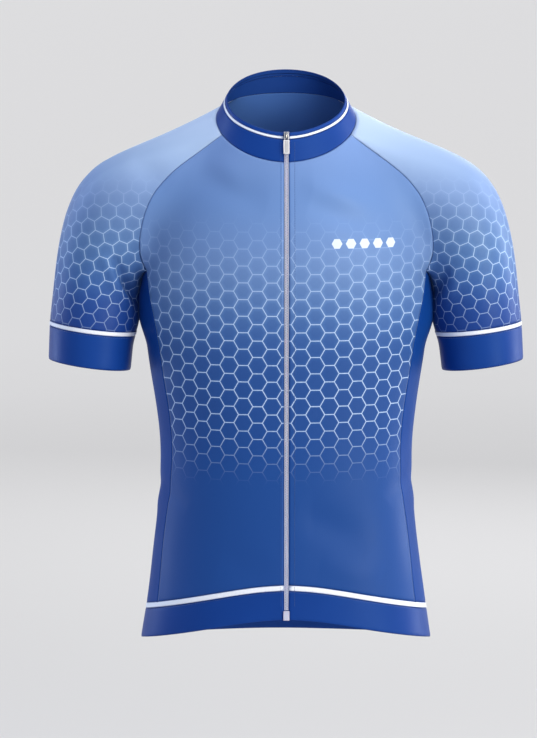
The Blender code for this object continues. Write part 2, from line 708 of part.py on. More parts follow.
def rod(name, radius, length, location, material_name, parent):
    """A round bar that lies along X."""
    form = bmesh.new()
    bmesh.ops.create_cone(
        form, cap_ends=True, segments=ROD_SIDES, radius1=radius * MM, radius2=radius * MM, depth=length * MM
    )
    mesh = bpy.data.meshes.new(name)
    form.to_mesh(mesh)
    form.free()
    thing = add_object(name, mesh, material_name, HELPERS)
    thing.rotation_euler = (0, math.pi / 2, 0)
    thing.location = [value * MM for value in location]
    thing.parent = parent
    return thing


def arch(name, material_name, parent):
    """The slider's bridge: a round wire bent into a half oval, with its ends in the plate."""
    curve = bpy.data.curves.new(name, "CURVE")
    curve.dimensions = "3D"
    curve.bevel_depth = BRIDGE_WIRE * MM
    curve.bevel_resolution = 2
    curve.use_fill_caps = True
    route = curve.splines.new("POLY")
    turns = np.linspace(-BRIDGE_SINK, math.pi + BRIDGE_SINK, BRIDGE_POINTS)
    route.points.add(len(turns) - 1)
    for point, turn in zip(route.points, turns):
        y = PLATE_FACE - BRIDGE_RISE * math.sin(turn)
        point.co = (0, y * MM, BRIDGE_SPAN / 2 * math.cos(turn) * MM, 1)
    guide = bpy.data.objects.new(name + "_route", curve)
    HELPERS.objects.link(guide)
    mesh = bpy.data.meshes.new_from_object(guide.evaluated_get(bpy.context.evaluated_depsgraph_get()))
    bpy.data.objects.remove(guide)
    form = bmesh.new()
    form.from_mesh(mesh)
    bmesh.ops.remove_doubles(form, verts=form.verts, dist=1e-6)
    bmesh.ops.recalc_face_normals(form, faces=form.faces)
    form.to_mesh(mesh)
    form.free()
    mesh.materials.clear()
    thing = add_object(name, mesh, material_name, HELPERS)
    thing.parent = parent
    return thing


def fuse(thing, *others):
    """Joins the others to the thing; they stay in the scene as hidden helpers."""
    for other in others:
        join = thing.modifiers.new("join " + other.name, "BOOLEAN")
        join.operation = "UNION"
        join.object = other
        other.hide_render = True
        other.display_type = "WIRE"
    thing.data.shade_smooth()
    thing.data.set_sharp_from_angle(angle=SHARP_ANGLE)


def seat(name, below_top=None, above_hem=None):
    """An empty on the zip's middle line, turned so that +Z runs up the zip and -Y points out."""
    line = front_edge()[:, 0] * (0, 1, 1)
    lengths = polyline_lengths(line)
    at = above_hem if below_top is None else lengths[-1] - below_top
    low, here, high = along(lengths, line, np.array([at - ZIP_STEP, at, at + ZIP_STEP]))
    empty = bpy.data.objects.new(name, None)
    empty.location = here * MM
    empty.rotation_euler = (math.atan2(-(high[1] - low[1]), high[2] - low[2]), 0, 0)
    COLLECTION.objects.link(empty)
    return empty


def build_zip():
    slider_length = SLIDER_DOWN - NECK_Z + NECK[2] / 2
    coil = zip_strip(
        -COIL_WIDTH / 2, COIL_WIDTH / 2, COIL_PROUD,
        above_hem=STOP_FLANGE[2] + STOP_TO_COIL, below_top=slider_length + SLIDER_TO_COIL,
    )
    cloth("zip_coil", coil, "zip coil", thick=COIL_THICK, trim=False)
    tape = zip_strip(TAPE_INNER, TAPE_OUTER, -TAPE_DEPTH, TAPE_ENDS, TAPE_ENDS)
    cloth("zip_tape_left", tape, "zip tape", thick=TAPE_THICK, trim=False)
    cloth("zip_tape_right", tape * MIRROR, "zip tape", thick=TAPE_THICK, trim=False, outside=False)
    stop_seat = seat("zip_stop_seat", above_hem=STOP_FLANGE[2] / 2 + STOP_ABOVE_HEM)
    flange_y = STOP_FLANGE_Y - STOP_FLANGE[1] / 2
    stop = box("zip_stop", STOP_FLANGE, (0, flange_y, 0), STOP_BEVEL, "pull rubber", stop_seat)
    core_y = STOP_CORE_Y + STOP_CORE[1] / 2
    fuse(stop, box("zip_stop_core", STOP_CORE, (0, core_y, 0), 0, "pull rubber", stop_seat, HELPERS))

    slider_seat = seat("zip_slider_seat", below_top=SLIDER_DOWN)
    plate_y = PLATE_FACE + PLATE[1] / 2
    plate = box("zip_slider", PLATE, (0, plate_y, 0), PLATE_BEVEL, "satin metal", slider_seat)
    neck = box("zip_slider_neck", NECK, (0, NECK_Y, NECK_Z), 0, "satin metal", slider_seat, HELPERS)
    back = box(
        "zip_slider_back", BACK_PLATE, (0, BACK_PLATE_Y, 0), BACK_PLATE_BEVEL, "satin metal",
        slider_seat, HELPERS
    )
    fuse(plate, neck, back, arch("zip_slider_bridge", "satin metal", slider_seat))

    pivot = bpy.data.objects.new("pull_tab_pivot", None)
    pivot.parent = slider_seat
    pivot.location = (0, PIVOT_Y * MM, 0)
    COLLECTION.objects.link(pivot)
    tab_size = (TAB_WIDTH, TAB_THICK, TAB_TOP - TAB_END)
    tab = box("pull_tab", tab_size, (0, 0, 0), TAB_BEVEL, "pull rubber", pivot)
    for vertex in tab.data.vertices:
        vertex.co.z += (TAB_TOP + TAB_END) / 2 * MM
    arm_size = (TAB_ARM, 2 * TAB_BAR, ARM_SINK - TAB_TOP)
    arms = [
        box(f"pull_tab_arm_{side}", arm_size, (side * TAB_ARM_X, 0, (TAB_TOP - ARM_SINK) / 2), ARM_BEVEL,
            "satin metal", pivot, HELPERS)
        for side in (-1, 1)
    ]
    bar = rod("pull_tab_bar", TAB_BAR, 2 * TAB_ARM_X + TAB_ARM, (0, 0, 0), "satin metal", pivot)
    fuse(tab, bar, *arms)


for old in list(bpy.data.objects):
    bpy.data.objects.remove(old)
COLLECTION = bpy.data.collections.new("cycling_jersey")
HELPERS = bpy.data.collections.new("helpers")
for group in (COLLECTION, HELPERS):
    bpy.context.scene.collection.children.link(group)
build_cloth()
build_zip()
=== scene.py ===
# %% [markdown]
# # A cycling jersey
# A race-cut jersey is sewn from printed polyester knit: two fronts that meet at a full zip, one back, narrow
# side panels under the arms and raglan sleeves whose seams run up to the collar. Elastic bands close the
# collar, the cuffs and the hem, and a white tape is let in where each band meets the cloth. Here the shapes
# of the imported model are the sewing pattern: every piece of cloth is taken from its solid and made soft.

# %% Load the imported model
import math

import bmesh
import bpy
import numpy as np
from mathutils import Matrix, Vector, kdtree, noise
from mathutils.bvhtree import BVHTree


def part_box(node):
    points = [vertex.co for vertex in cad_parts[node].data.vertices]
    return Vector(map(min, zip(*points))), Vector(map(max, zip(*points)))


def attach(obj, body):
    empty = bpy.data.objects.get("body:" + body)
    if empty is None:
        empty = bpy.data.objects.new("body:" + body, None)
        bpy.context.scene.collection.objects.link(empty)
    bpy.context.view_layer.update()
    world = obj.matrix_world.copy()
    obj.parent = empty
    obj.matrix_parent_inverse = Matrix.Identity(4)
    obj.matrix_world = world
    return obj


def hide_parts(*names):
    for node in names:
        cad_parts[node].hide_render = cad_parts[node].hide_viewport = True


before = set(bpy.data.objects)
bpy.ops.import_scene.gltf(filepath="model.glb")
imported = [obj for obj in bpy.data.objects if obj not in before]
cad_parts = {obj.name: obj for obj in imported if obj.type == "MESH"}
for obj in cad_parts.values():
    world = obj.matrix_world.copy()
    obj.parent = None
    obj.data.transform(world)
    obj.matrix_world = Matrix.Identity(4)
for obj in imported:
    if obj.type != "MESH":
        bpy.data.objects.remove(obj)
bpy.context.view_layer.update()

MM = 0.001
MERGE = 1e-5  # points closer than this are one point

# %% [markdown]
# ## The camera and the room
# The jersey is looked at from straight in front and a little above, from far away, so that its sides stay
# almost parallel. The floor is a wide shallow dish, turned from one profile with a spin: a dish has no
# horizon, so the ground behind the cloth is one even pale grey from every side.

# %% The camera
CAMERA_DISTANCE = 4.0
CAMERA_RISE = math.radians(6)
AIM = Vector((-0.0206, 0.0, -0.2815))
FRAME_HEIGHT_MM = 24
LENS_MM = 110.24

lens = bpy.data.cameras.new("camera")
lens.sensor_fit = "VERTICAL"
lens.sensor_height = FRAME_HEIGHT_MM
lens.lens = LENS_MM
lens.clip_end = 60
camera = bpy.data.objects.new("camera", lens)
bpy.context.scene.collection.objects.link(camera)
towards = Vector((0, -math.cos(CAMERA_RISE), math.sin(CAMERA_RISE)))
camera.location = AIM + towards * CAMERA_DISTANCE
camera.rotation_euler = (-towards).to_track_quat("-Z", "Y").to_euler()
bpy.context.scene.camera = camera
bpy.context.scene.view_settings.view_transform = "Standard"
print("camera", [round(value, 3) for value in camera.location], "lens", LENS_MM, "mm")


# %% Colours and nodes
def linear(code):
    """An sRGB hex colour as linear red, green, blue and alpha."""
    parts = [int(code[place:place + 2], 16) / 255 for place in (1, 3, 5)]
    return [part / 12.92 if part <= 0.04045 else ((part + 0.055) / 1.055) ** 2.4 for part in parts] + [1.0]


def node(tree, kind, inputs=None, output=0, **settings):
    """Adds one node with its settings and links, and returns one of its outputs to link from."""
    made = tree.nodes.new(kind)
    for name, value in settings.items():
        setattr(made, name, value)
    for socket, value in (inputs or {}).items():
        if isinstance(value, bpy.types.NodeSocket):
            tree.links.new(value, made.inputs[socket])
        else:
            made.inputs[socket].default_value = value
    return made.outputs[output]


def surface(name, **values):
    """A material with one Principled shader; returns the material, its tree and the shader."""
    made = bpy.data.materials.new(name)
    made.use_nodes = True
    shader = made.node_tree.nodes["Principled BSDF"]
    for socket, value in values.items():
        shader.inputs[socket.replace("_", " ")].default_value = value
    return made, made.node_tree, shader


def link(tree, start, shader, socket):
    """Lets a node drive one of the shader's inputs."""
    tree.links.new(start, shader.inputs[socket])


def mottled(name, code, light_code, scale, detail=2.0, **values):
    """A material whose colour wanders between two tones, its tree and shader, and the wander itself."""
    made, tree, shader = surface(name, **values)
    place = node(tree, "ShaderNodeTexCoord", output="Object")
    tone = node(tree, "ShaderNodeTexNoise", {"Vector": place, "Scale": scale, "Detail": detail})
    tint = node(
        tree, "ShaderNodeMix", {0: tone, 6: linear(code), 7: linear(light_code)}, 2, data_type="RGBA"
    )
    link(tree, tint, shader, "Base Color")
    return made, tree, shader, tone


def meshed(form, name):
    """Turns a bmesh into a smoothly shaded mesh, and frees it."""
    for face in form.faces:
        face.smooth = True
    mesh = bpy.data.meshes.new(name)
    form.to_mesh(mesh)
    form.free()
    return mesh


# %% The floor and the light
FLOOR_Z = -1.15
DISH = [(0.0, 0.0), (4.0, 0.0), (6.5, 0.12), (8.5, 0.7), (9.6, 1.8), (10.2, 3.4)]  # radius, height

dish = bmesh.new()
rim = [dish.verts.new((radius, 0, FLOOR_Z + height)) for radius, height in DISH]
edges = [dish.edges.new(pair) for pair in zip(rim, rim[1:])]
bmesh.ops.spin(
    dish, geom=rim + edges, cent=(0, 0, 0), axis=(0, 0, 1), angle=math.tau, steps=96, use_merge=True
)
bmesh.ops.remove_doubles(dish, verts=dish.verts, dist=MERGE)
bmesh.ops.recalc_face_normals(dish, faces=dish.faces)
floor_mesh = meshed(dish, "floor")
floor = bpy.data.objects.new("floor", floor_mesh)
bpy.context.scene.collection.objects.link(floor)
# Matt white diffusion cloth, lit from behind as in a light tent: no gloss, and one even tone. It glows a
# little less in the middle, where the lamps above already light it.
TENT_MIDDLE, TENT_EDGE = 1.5, 7.0  # metres from the middle
tent, tree, shader = surface(
    "white diffusion cloth, lit from behind", Base_Color=linear("#a2a2a3"), Roughness=1.0,
    Specular_IOR_Level=0.0, Emission_Color=linear("#fbfbfd"),
)
place = node(tree, "ShaderNodeTexCoord", output="Object")
away = node(tree, "ShaderNodeVectorMath", {0: place}, "Value", operation="LENGTH")
glow = node(
    tree, "ShaderNodeMapRange",
    {"Value": away, "From Min": TENT_MIDDLE, "From Max": TENT_EDGE, "To Min": 0.30, "To Max": 0.61},
)
link(tree, glow, shader, "Emission Strength")
floor_mesh.materials.append(tent)

world = bpy.data.worlds.new("studio")
bpy.context.scene.world = world
world.use_nodes = True
world.node_tree.nodes["Background"].inputs["Color"].default_value = linear("#e8ecf4")
world.node_tree.nodes["Background"].inputs["Strength"].default_value = 0.15

SOFTBOXES = [  # name, place, what it points at, width, height, watts, colour
    ("overhead", (0.5, -0.4, 3.0), (0.1, 0, 0), 3.2, 3.0, 84, "#ffffff"),
    ("high key", (1.5, -2.4, 2.1), (0.1, 0, -0.1), 1.0, 1.0, 32, "#ffffff"),
    ("fill", (-0.9, -4.6, 1.2), (0, 0, -0.3), 3.0, 2.4, 25, "#dde8ff"),
    ("key", (2.4, -2.3, 0.4), (0, 0, -0.3), 1.4, 2.6, 95, "#ffeccc"),
    ("left strip", (-2.3, 0.9, 0.3), (0, 0, -0.2), 0.6, 2.4, 32, "#d3e2ff"),
    ("right strip", (2.3, 0.9, 0.3), (0, 0, -0.2), 0.7, 2.4, 42, "#f4f7ff"),
    ("back fill", (0.8, 4.4, 1.2), (0, 0, -0.3), 3.0, 2.4, 60, "#ffffff"),
]
for name, place, target, width, height, watts, tint in SOFTBOXES:
    lamp = bpy.data.lights.new(name, "AREA")
    lamp.shape = "RECTANGLE"
    lamp.size = width
    lamp.size_y = height
    lamp.energy = watts
    lamp.color = linear(tint)[:3]
    softbox = bpy.data.objects.new(name, lamp)
    bpy.context.scene.collection.objects.link(softbox)
    softbox.location = place
    softbox.rotation_euler = (Vector(target) - Vector(place)).to_track_quat("-Z", "Y").to_euler()
print(len(SOFTBOXES), "softboxes")

# %% [markdown]
# ## From a solid to a piece of cloth
# Each solid is a wall with an outer skin, an inner skin and a narrow rim between them. Taking the outer skin
# gives a sheet of large faces, and three rounds of the Catmull-Clark rule turn it into a smooth fine one.
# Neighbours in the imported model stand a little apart, so each sheet's edge is first let out by half that
# space: then the seams close, and both sides of a seam still curve alike.

# %% Take the outer skin of a solid
SEAM_SPACE = 0.9 * MM
RIM = 1.7 * MM  # the wall's thickness is the only edge this short
ARM_CENTRE = Vector((-0.175, 0, -0.286))  # the arm bends round this point, seen from the front
ARM_REACH = 0.41
DIAGONAL = 1.4  # a corner is let out along the diagonal, so it moves further


def is_arm(name):
    """Whether a node goes round an arm; the others go round the trunk or the neck."""
    return "sleeve" in name or "cuff" in name


def from_axis(point, name):
    """The direction from the middle of the trunk or of the arm out to a point."""
    if not is_arm(name):
        return Vector((point.x, point.y, 0))
    side = 1 if point.x > 0 else -1
    centre = Vector((ARM_CENTRE.x * side, 0, ARM_CENTRE.z))
    spoke = Vector((point.x, 0, point.z)) - centre
    return point - (centre + spoke.normalized() * ARM_REACH)


def islands(form):
    """The faces of a bmesh, in groups that hang together."""
    left = set(form.faces)
    while left:
        group, edge_of_group = set(), [left.pop()]
        while edge_of_group:
            face = edge_of_group.pop()
            group.add(face)
            beside = {other for edge in face.edges for other in edge.link_faces} & left
            left -= beside
            edge_of_group.extend(beside)
        yield group


def let_out(form, distance):
    """Moves each edge point of a sheet outwards, in line with the mesh, by this distance."""
    moves = {}
    for vertex in form.verts:
        if not vertex.is_boundary:
            continue
        inner = [edge for edge in vertex.link_edges if not edge.is_boundary]
        if not inner:
            inner = list(vertex.link_edges)
        away = Vector()
        for edge in inner:
            away += (vertex.co - edge.other_vert(vertex).co).normalized()
        moves[vertex] = away.normalized() * distance * (DIAGONAL if len(inner) > 1 else 1)
    for vertex, move in moves.items():
        vertex.co += move


def outer_skin(name, rim=RIM, distance=SEAM_SPACE / 2):
    """The outer skin of a CAD node, as a bmesh of four-sided faces."""
    form = bmesh.new()
    form.from_mesh(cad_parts[name].data)
    bmesh.ops.remove_doubles(form, verts=form.verts, dist=MERGE)
    edge_faces = [face for face in form.faces if min(edge.calc_length() for edge in face.edges) < rim]
    bmesh.ops.delete(form, geom=edge_faces, context="FACES")
    for group in list(islands(form)):
        facing = sum(
            face.normal.dot(from_axis(face.calc_center_median(), name)) * face.calc_area() for face in group
        )
        if facing < 0:
            bmesh.ops.delete(form, geom=list(group), context="FACES")
    bmesh.ops.join_triangles(
        form, faces=form.faces, angle_face_threshold=math.pi, angle_shape_threshold=math.pi
    )
    let_out(form, distance)
    return form


# %% [markdown]
# ## The print's own measure
# A printed pattern is flat before the cloth is cut and worn, so its shapes keep their size along the cloth.
# Each point therefore gets a place on the flat print, in metres, in a UV map: on the trunk the way round
# from the zip or from the middle of the back, and on a sleeve the way round the arm and down along its bend.

# %% Lay the flat print over each piece
TRUNK_HALF_WIDTHS = [  # height, half width of the print where it meets the sides
    (-0.60, 0.175), (-0.50, 0.160), (-0.385, 0.151), (-0.30, 0.158), (-0.24, 0.167), (-0.19, 0.174),
    (-0.13, 0.180), (-0.10, 0.178), (-0.06, 0.170), (0.0, 0.165),
]
TRUNK_ROUNDNESS = 2.25
TRUNK_DEPTH_SHARE = 0.66
ARM_RADIUS = 0.0565
COLLAR_RADIUS = 0.074

turn = np.linspace(0, math.pi / 2, 400)
oval = np.stack([
    np.sin(turn) ** (2 / TRUNK_ROUNDNESS), TRUNK_DEPTH_SHARE * np.cos(turn) ** (2 / TRUNK_ROUNDNESS)
])
oval_x = oval[0]
oval_way = np.concatenate([[0], np.cumsum(np.linalg.norm(np.diff(oval, axis=1), axis=0))])


def print_place(point, name):
    """Where a point of the cloth lies on the flat print: across and up, in metres."""
    side = 1 if point.x > 0 else -1
    if is_arm(name):
        centre = Vector((ARM_CENTRE.x * side, 0, ARM_CENTRE.z))
        spoke = Vector((point.x, 0, point.z)) - centre
        bend = math.atan2(spoke.z, abs(spoke.x))
        across = math.atan2(-point.y, spoke.length - ARM_REACH) * ARM_RADIUS
        return across, bend * ARM_REACH
    if "collar" in name:
        return math.atan2(point.x, -point.y) * COLLAR_RADIUS, point.z
    if "side_panel" in name:
        return point.y * side, point.z
    heights = np.array(TRUNK_HALF_WIDTHS)
    half = np.interp(point.z, heights[:, 0], heights[:, 1])
    return side * half * float(np.interp(abs(point.x) / half, oval_x, oval_way)), point.z


sample = print_place(Vector((0.1, -0.09, -0.3)), "front_left")
print("a point 100 mm from the zip lies", round(sample[0] / MM, 1), "mm from it on the print")

# %% [markdown]
# ## Creases
# Worn knit lies close and shows few folds: a deep one where the sleeve meets the chest at each armpit, short
# pulls at the waist, and wide shallow hollows over the chest and the shoulder blades. Each crease is a row
# of the table: a line on the front, back or side, how far it reaches to each side, and how deep it sinks
# (or, below zero, how far it stands up). It is a bell-shaped trough that dies away at both ends.

# %% The creases
CREASES = [  # seen from, start and end across and up (mm), half width (mm), depth (mm)
    ("front", (-197, -148), (-174, -206), 5, 8.0),
    ("front", (-212, -146), (-186, -204), 7, -2.6),
    ("front", (-186, -178), (-168, -214), 5, 2.4),
    ("front", (186, -160), (170, -204), 6.5, 5.0),
    ("front", (200, -168), (182, -210), 7, -2.0),
    ("front", (-100, -52), (-30, -78), 17, 2.2),
    ("front", (-84, -28), (-50, -62), 13, -1.4),
    ("front", (24, -60), (92, -84), 13, -2.6),
    ("front", (34, -84), (104, -106), 14, 2.4),
    ("front", (-175, -32), (-140, -62), 15, 2.2),
    ("front", (150, -52), (205, -66), 15, 1.8),
    ("front", (20, -440), (90, -474), 20, 2.6),
    ("front", (46, -500), (104, -516), 16, -1.6),
    ("front", (-128, -300), (-94, -330), 18, 1.2),
    ("front", (-150, -412), (-118, -432), 10, 1.4),
    ("front", (150, -398), (120, -424), 10, 1.6),
    ("front", (-70, -496), (-20, -512), 20, 1.4),
    ("right", (-32, -404), (22, -428), 9, 1.3),
    ("right", (-24, -432), (30, -452), 9, -0.8),
    ("left", (-30, -398), (20, -424), 9, 1.3),
    ("left", (-18, -428), (34, -446), 9, -0.8),
    ("back", (-192, -150), (-160, -208), 8, 4.5),
    ("back", (194, -152), (162, -210), 8, 4.5),
    ("back", (-120, -96), (-58, -132), 18, 2.2),
    ("back", (116, -92), (60, -136), 18, 2.3),
    ("back", (-36, -60), (34, -64), 14, 1.6),
    ("back", (-112, -300), (-46, -322), 12, 2.2),
    ("back", (108, -288), (40, -316), 12, 2.3),
    ("back", (-90, -318), (-30, -330), 11, -1.4),
    ("back", (-150, -60), (-120, -96), 12, 1.5),
    ("back", (152, -58), (122, -98), 12, 1.6),
]
VIEWS = {  # the axis that runs across, the axis that points at the viewer, and its sign
    "front": (0, 1, -1), "back": (0, 1, 1), "left": (1, 0, 1), "right": (1, 0, -1),
}
GRAZING, FACING_GAIN = 0.05, 2.5  # a crease dies away where the cloth turns from its view
CREASE_END, CREASE_BLUNTNESS = 0.1, 0.8  # it starts and ends a little way into its bell, and is blunt
SOFTNESS = 1.1 * MM  # the cloth's gentle unevenness
SOFTNESS_SPAN = 0.085
ZIP_CALM = 0.03  # the stiff zip keeps the cloth flat this far from it


def crease_depth(point, normal):
    """How far the creases sink a point of the cloth."""
    sunk = 0.0
    for view, start, end, reach, depth in CREASES:
        across, toward, sign = VIEWS[view]
        facing = normal[toward] * sign
        if facing <= GRAZING:
            continue
        here = Vector((point[across] / MM - start[0], point.z / MM - start[1]))
        line = Vector((end[0] - start[0], end[1] - start[1]))
        along = here.dot(line) / line.length_squared
        off = here - line * min(max(along, 0), 1)
        if off.length > 3 * reach:
            continue
        share = min(max(along * (1 - 2 * CREASE_END) + CREASE_END, 0), 1)
        taper = math.sin(math.pi * share) ** CREASE_BLUNTNESS
        bell = math.exp(-((off.length / reach) ** 2))
        sunk += depth * MM * taper * bell * min(facing * FACING_GAIN, 1)
    return sunk


def softened(point, normal):
    """A point of the cloth with its creases and its gentle unevenness."""
    calm = min(abs(point.x) / ZIP_CALM, 1) if point.y < 0 else 1
    swell = noise.noise(point / SOFTNESS_SPAN) * SOFTNESS
    return point + normal * (swell - crease_depth(point, normal)) * calm


print(len(CREASES), "creases")

# %% [markdown]
# ## Sewing the cloth
# Every sheet is made fine, creased, and turned in a little along its edges, as stitching pulls a seam down.
# Its distance from the nearest edge is kept as an attribute, so that a material can show the seam's shadow.
# A Solidify modifier then gives the knit its thickness inwards, with the unprinted reverse inside.

# %% Make one piece of cloth
KNIT_THICKNESS = 0.9 * MM
GARMENT = "garment"
ARMPIT_HEIGHTS = (-0.256, -0.216, -0.204, -0.160)  # the cloth meets between the middle two
ARMPIT_SIDES = (0.125, 0.160)  # the trunk's side, from where it starts to bulge to where it does fully
ARMPIT_DEPTH = 0.045
TRUNK_BULGE, SLEEVE_BULGE = 7.2 * MM, 5.6 * MM
CORNER_ANGLE = math.radians(150)
pieces = {}


def keep_corners(form):
    """Marks the points where a sheet's outline turns sharply, so that smoothing leaves them alone."""
    sharp = form.verts.layers.float.new("crease_vert")
    for vertex in form.verts:
        sides = [edge.other_vert(vertex).co - vertex.co for edge in vertex.link_edges if edge.is_boundary]
        if len(sides) == 2 and sides[0].angle(sides[1]) < CORNER_ANGLE:
            vertex[sharp] = 1.0


def refined(form, levels):
    """The sheet after this many rounds of Catmull-Clark, as a new mesh with its corners kept."""
    keep_corners(form)
    rough = meshed(form, "rough")
    holder = bpy.data.objects.new("rough", rough)
    bpy.context.scene.collection.objects.link(holder)
    smooth = holder.modifiers.new("smooth", "SUBSURF")
    smooth.levels = smooth.render_levels = levels
    smooth.boundary_smooth = "PRESERVE_CORNERS"
    fine = bpy.data.meshes.new_from_object(holder.evaluated_get(bpy.context.evaluated_depsgraph_get()))
    bpy.data.objects.remove(holder)
    bpy.data.meshes.remove(rough)
    return fine


def soft_step(low, high, value):
    """Rises smoothly from 0 to 1 while a value goes from low to high."""
    share = min(max((value - low) / (high - low), 0), 1)
    return share * share * (3 - 2 * share)


def armpit_bulge(point, normal, name):
    """Under the armpit the side of the trunk and the inside of the sleeve lie against each other."""
    bottom, low, high, top = ARMPIT_HEIGHTS
    size = soft_step(bottom, low, point.z) * soft_step(top, high, point.z)
    if size == 0:
        return Vector()
    side = 1 if point.x > 0 else -1
    size *= math.exp(-((point.y / ARMPIT_DEPTH) ** 2))
    if is_arm(name):
        return Vector((-side * SLEEVE_BULGE * size * max(-side * normal.x, 0), 0, 0))
    return Vector((side * TRUNK_BULGE * size * soft_step(*ARMPIT_SIDES, abs(point.x)), 0, 0))


def add_piece(name, mesh, body, *nodes):
    """Puts a finished mesh in the scene, riding on a body and standing for these CAD nodes."""
    piece = bpy.data.objects.new(name, mesh)
    bpy.context.scene.collection.objects.link(piece)
    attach(piece, body)
    if nodes:
        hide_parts(*nodes)
    pieces[name] = piece
    return piece


def sew(name, node_name, face_material, back_material, levels, dip, lift):
    """Makes one piece of cloth from the skin of its CAD node, and puts it in the node's place."""
    sheet = bmesh.new()
    sheet.from_mesh(refined(outer_skin(node_name), levels))
    sheet.normal_update()
    seam = sheet.verts.layers.float.new("from_seam")
    edge_points = [vertex.co.copy() for vertex in sheet.verts if vertex.is_boundary]
    tree = kdtree.KDTree(len(edge_points))
    for index, point in enumerate(edge_points):
        tree.insert(point, index)
    tree.balance()
    places, moved = {}, {}
    for vertex in sheet.verts:
        places[vertex] = print_place(vertex.co, node_name)
        vertex[seam] = 0.0 if vertex.is_boundary else tree.find(vertex.co)[2]
        point, normal = vertex.co, vertex.normal
        moved[vertex] = softened(point, normal) + armpit_bulge(point, normal, node_name)
        moved[vertex] += normal * (lift - (dip if vertex.is_boundary else 0))
    uv = sheet.loops.layers.uv.new("print")
    for face in sheet.faces:
        for loop in face.loops:
            loop[uv].uv = places[loop.vert]
    for vertex, point in moved.items():
        vertex.co = point
    mesh = meshed(sheet, name)
    mesh.materials.append(face_material)
    mesh.materials.append(back_material)
    piece = add_piece(name, mesh, GARMENT, node_name)
    wall = piece.modifiers.new("knit thickness", "SOLIDIFY")
    wall.thickness = KNIT_THICKNESS
    wall.offset = -1
    wall.material_offset = 1
    wall.material_offset_rim = 0 if lift == 0 else 1
    area = sum(face.area for face in mesh.polygons)
    print(name, len(mesh.polygons), "faces,", round(area, 4), "m2")


# %% [markdown]
# ## The printed knit
# The body cloth is polyester interlock, printed by dye sublimation: the ink turns to gas under a hot press
# and goes into the threads, so the print has no thickness and the knit keeps its soft satin look. A blue that
# deepens from the shoulders to the hem lies under a net of pale hexagons, which comes and goes with height.
# The hexagons could be drawn as an image, but a few sums give sharp lines at any distance: every point is
# folded back into the nearest cell of a honeycomb, and its distance from the cell's edge draws the line.

# %% Honeycomb, knit and seam shadow as nodes
CELL = 19.16  # mm across a hexagon's flat sides
COLUMN = CELL * math.sqrt(3) / 2  # mm from one column of cells to the next
LINE = 0.75  # mm wide
WALE_PITCH = 2.2  # mm; the real wales are 0.8 mm apart, too fine to show
WAVE_PER_UNIT = 20 / math.tau  # what the Wave texture needs for one stripe a unit
GRAIN_SCALE = 420.0  # grains about 2.4 mm wide; the real ones are single threads, too fine to show
BROAD_SCALE = 9.0  # patches about 110 mm wide, where the knit is stretched more or less


def hexagon_distance(tree, place, cell):
    """How far a place in mm lies inside a hexagon that is this far across, centred on zero."""
    size = node(tree, "ShaderNodeVectorMath", {0: place}, operation="ABSOLUTE")
    across = node(tree, "ShaderNodeSeparateXYZ", {0: size})
    up = node(tree, "ShaderNodeSeparateXYZ", {0: size}, 1)
    slope = node(tree, "ShaderNodeMath", {0: across, 1: math.sqrt(3) / 2}, operation="MULTIPLY")
    slant = node(tree, "ShaderNodeMath", {0: up, 1: 0.5, 2: slope}, operation="MULTIPLY_ADD")
    out = node(tree, "ShaderNodeMath", {0: up, 1: slant}, operation="MAXIMUM")
    return node(tree, "ShaderNodeMath", {0: cell / 2, 1: out}, operation="SUBTRACT")


def honeycomb(tree, shift, fineness):
    """The distance in mm from each point of the print to the edge of its hexagon."""
    print_map = node(tree, "ShaderNodeUVMap", uv_map="print")
    place = node(
        tree, "ShaderNodeMapping",
        {"Vector": print_map, "Scale": (1000 * fineness, 1000 * fineness, 0), "Location": (*shift, 0)},
    )
    folded, lengths = [], []
    for start in ((0, 0, 0), (COLUMN, CELL / 2, 0)):
        moved = node(tree, "ShaderNodeVectorMath", {0: place, 1: start}, operation="SUBTRACT")
        low, high = (-COLUMN, -CELL / 2, -1), (COLUMN, CELL / 2, 1)
        folded.append(node(tree, "ShaderNodeVectorMath", {0: moved, 1: high, 2: low}, operation="WRAP"))
        lengths.append(node(tree, "ShaderNodeVectorMath", {0: folded[-1]}, "Value", operation="LENGTH"))
    nearer = node(tree, "ShaderNodeMath", {0: lengths[0], 1: lengths[1]}, operation="GREATER_THAN")
    cell = node(tree, "ShaderNodeMix", {0: nearer, 4: folded[0], 5: folded[1]}, 1, data_type="VECTOR")
    return hexagon_distance(tree, cell, CELL)


SMOOTH = dict(interpolation_type="SMOOTHSTEP")
NOISE_RANGE = (0.3, 0.7)  # nearly all of a Noise texture lies between these


def eased(value, low, high, start, end):
    """A Map Range node's inputs: while the value goes from low to high, the result goes from start to end."""
    return {"Value": value, "From Min": low, "From Max": high, "To Min": start, "To Max": end}


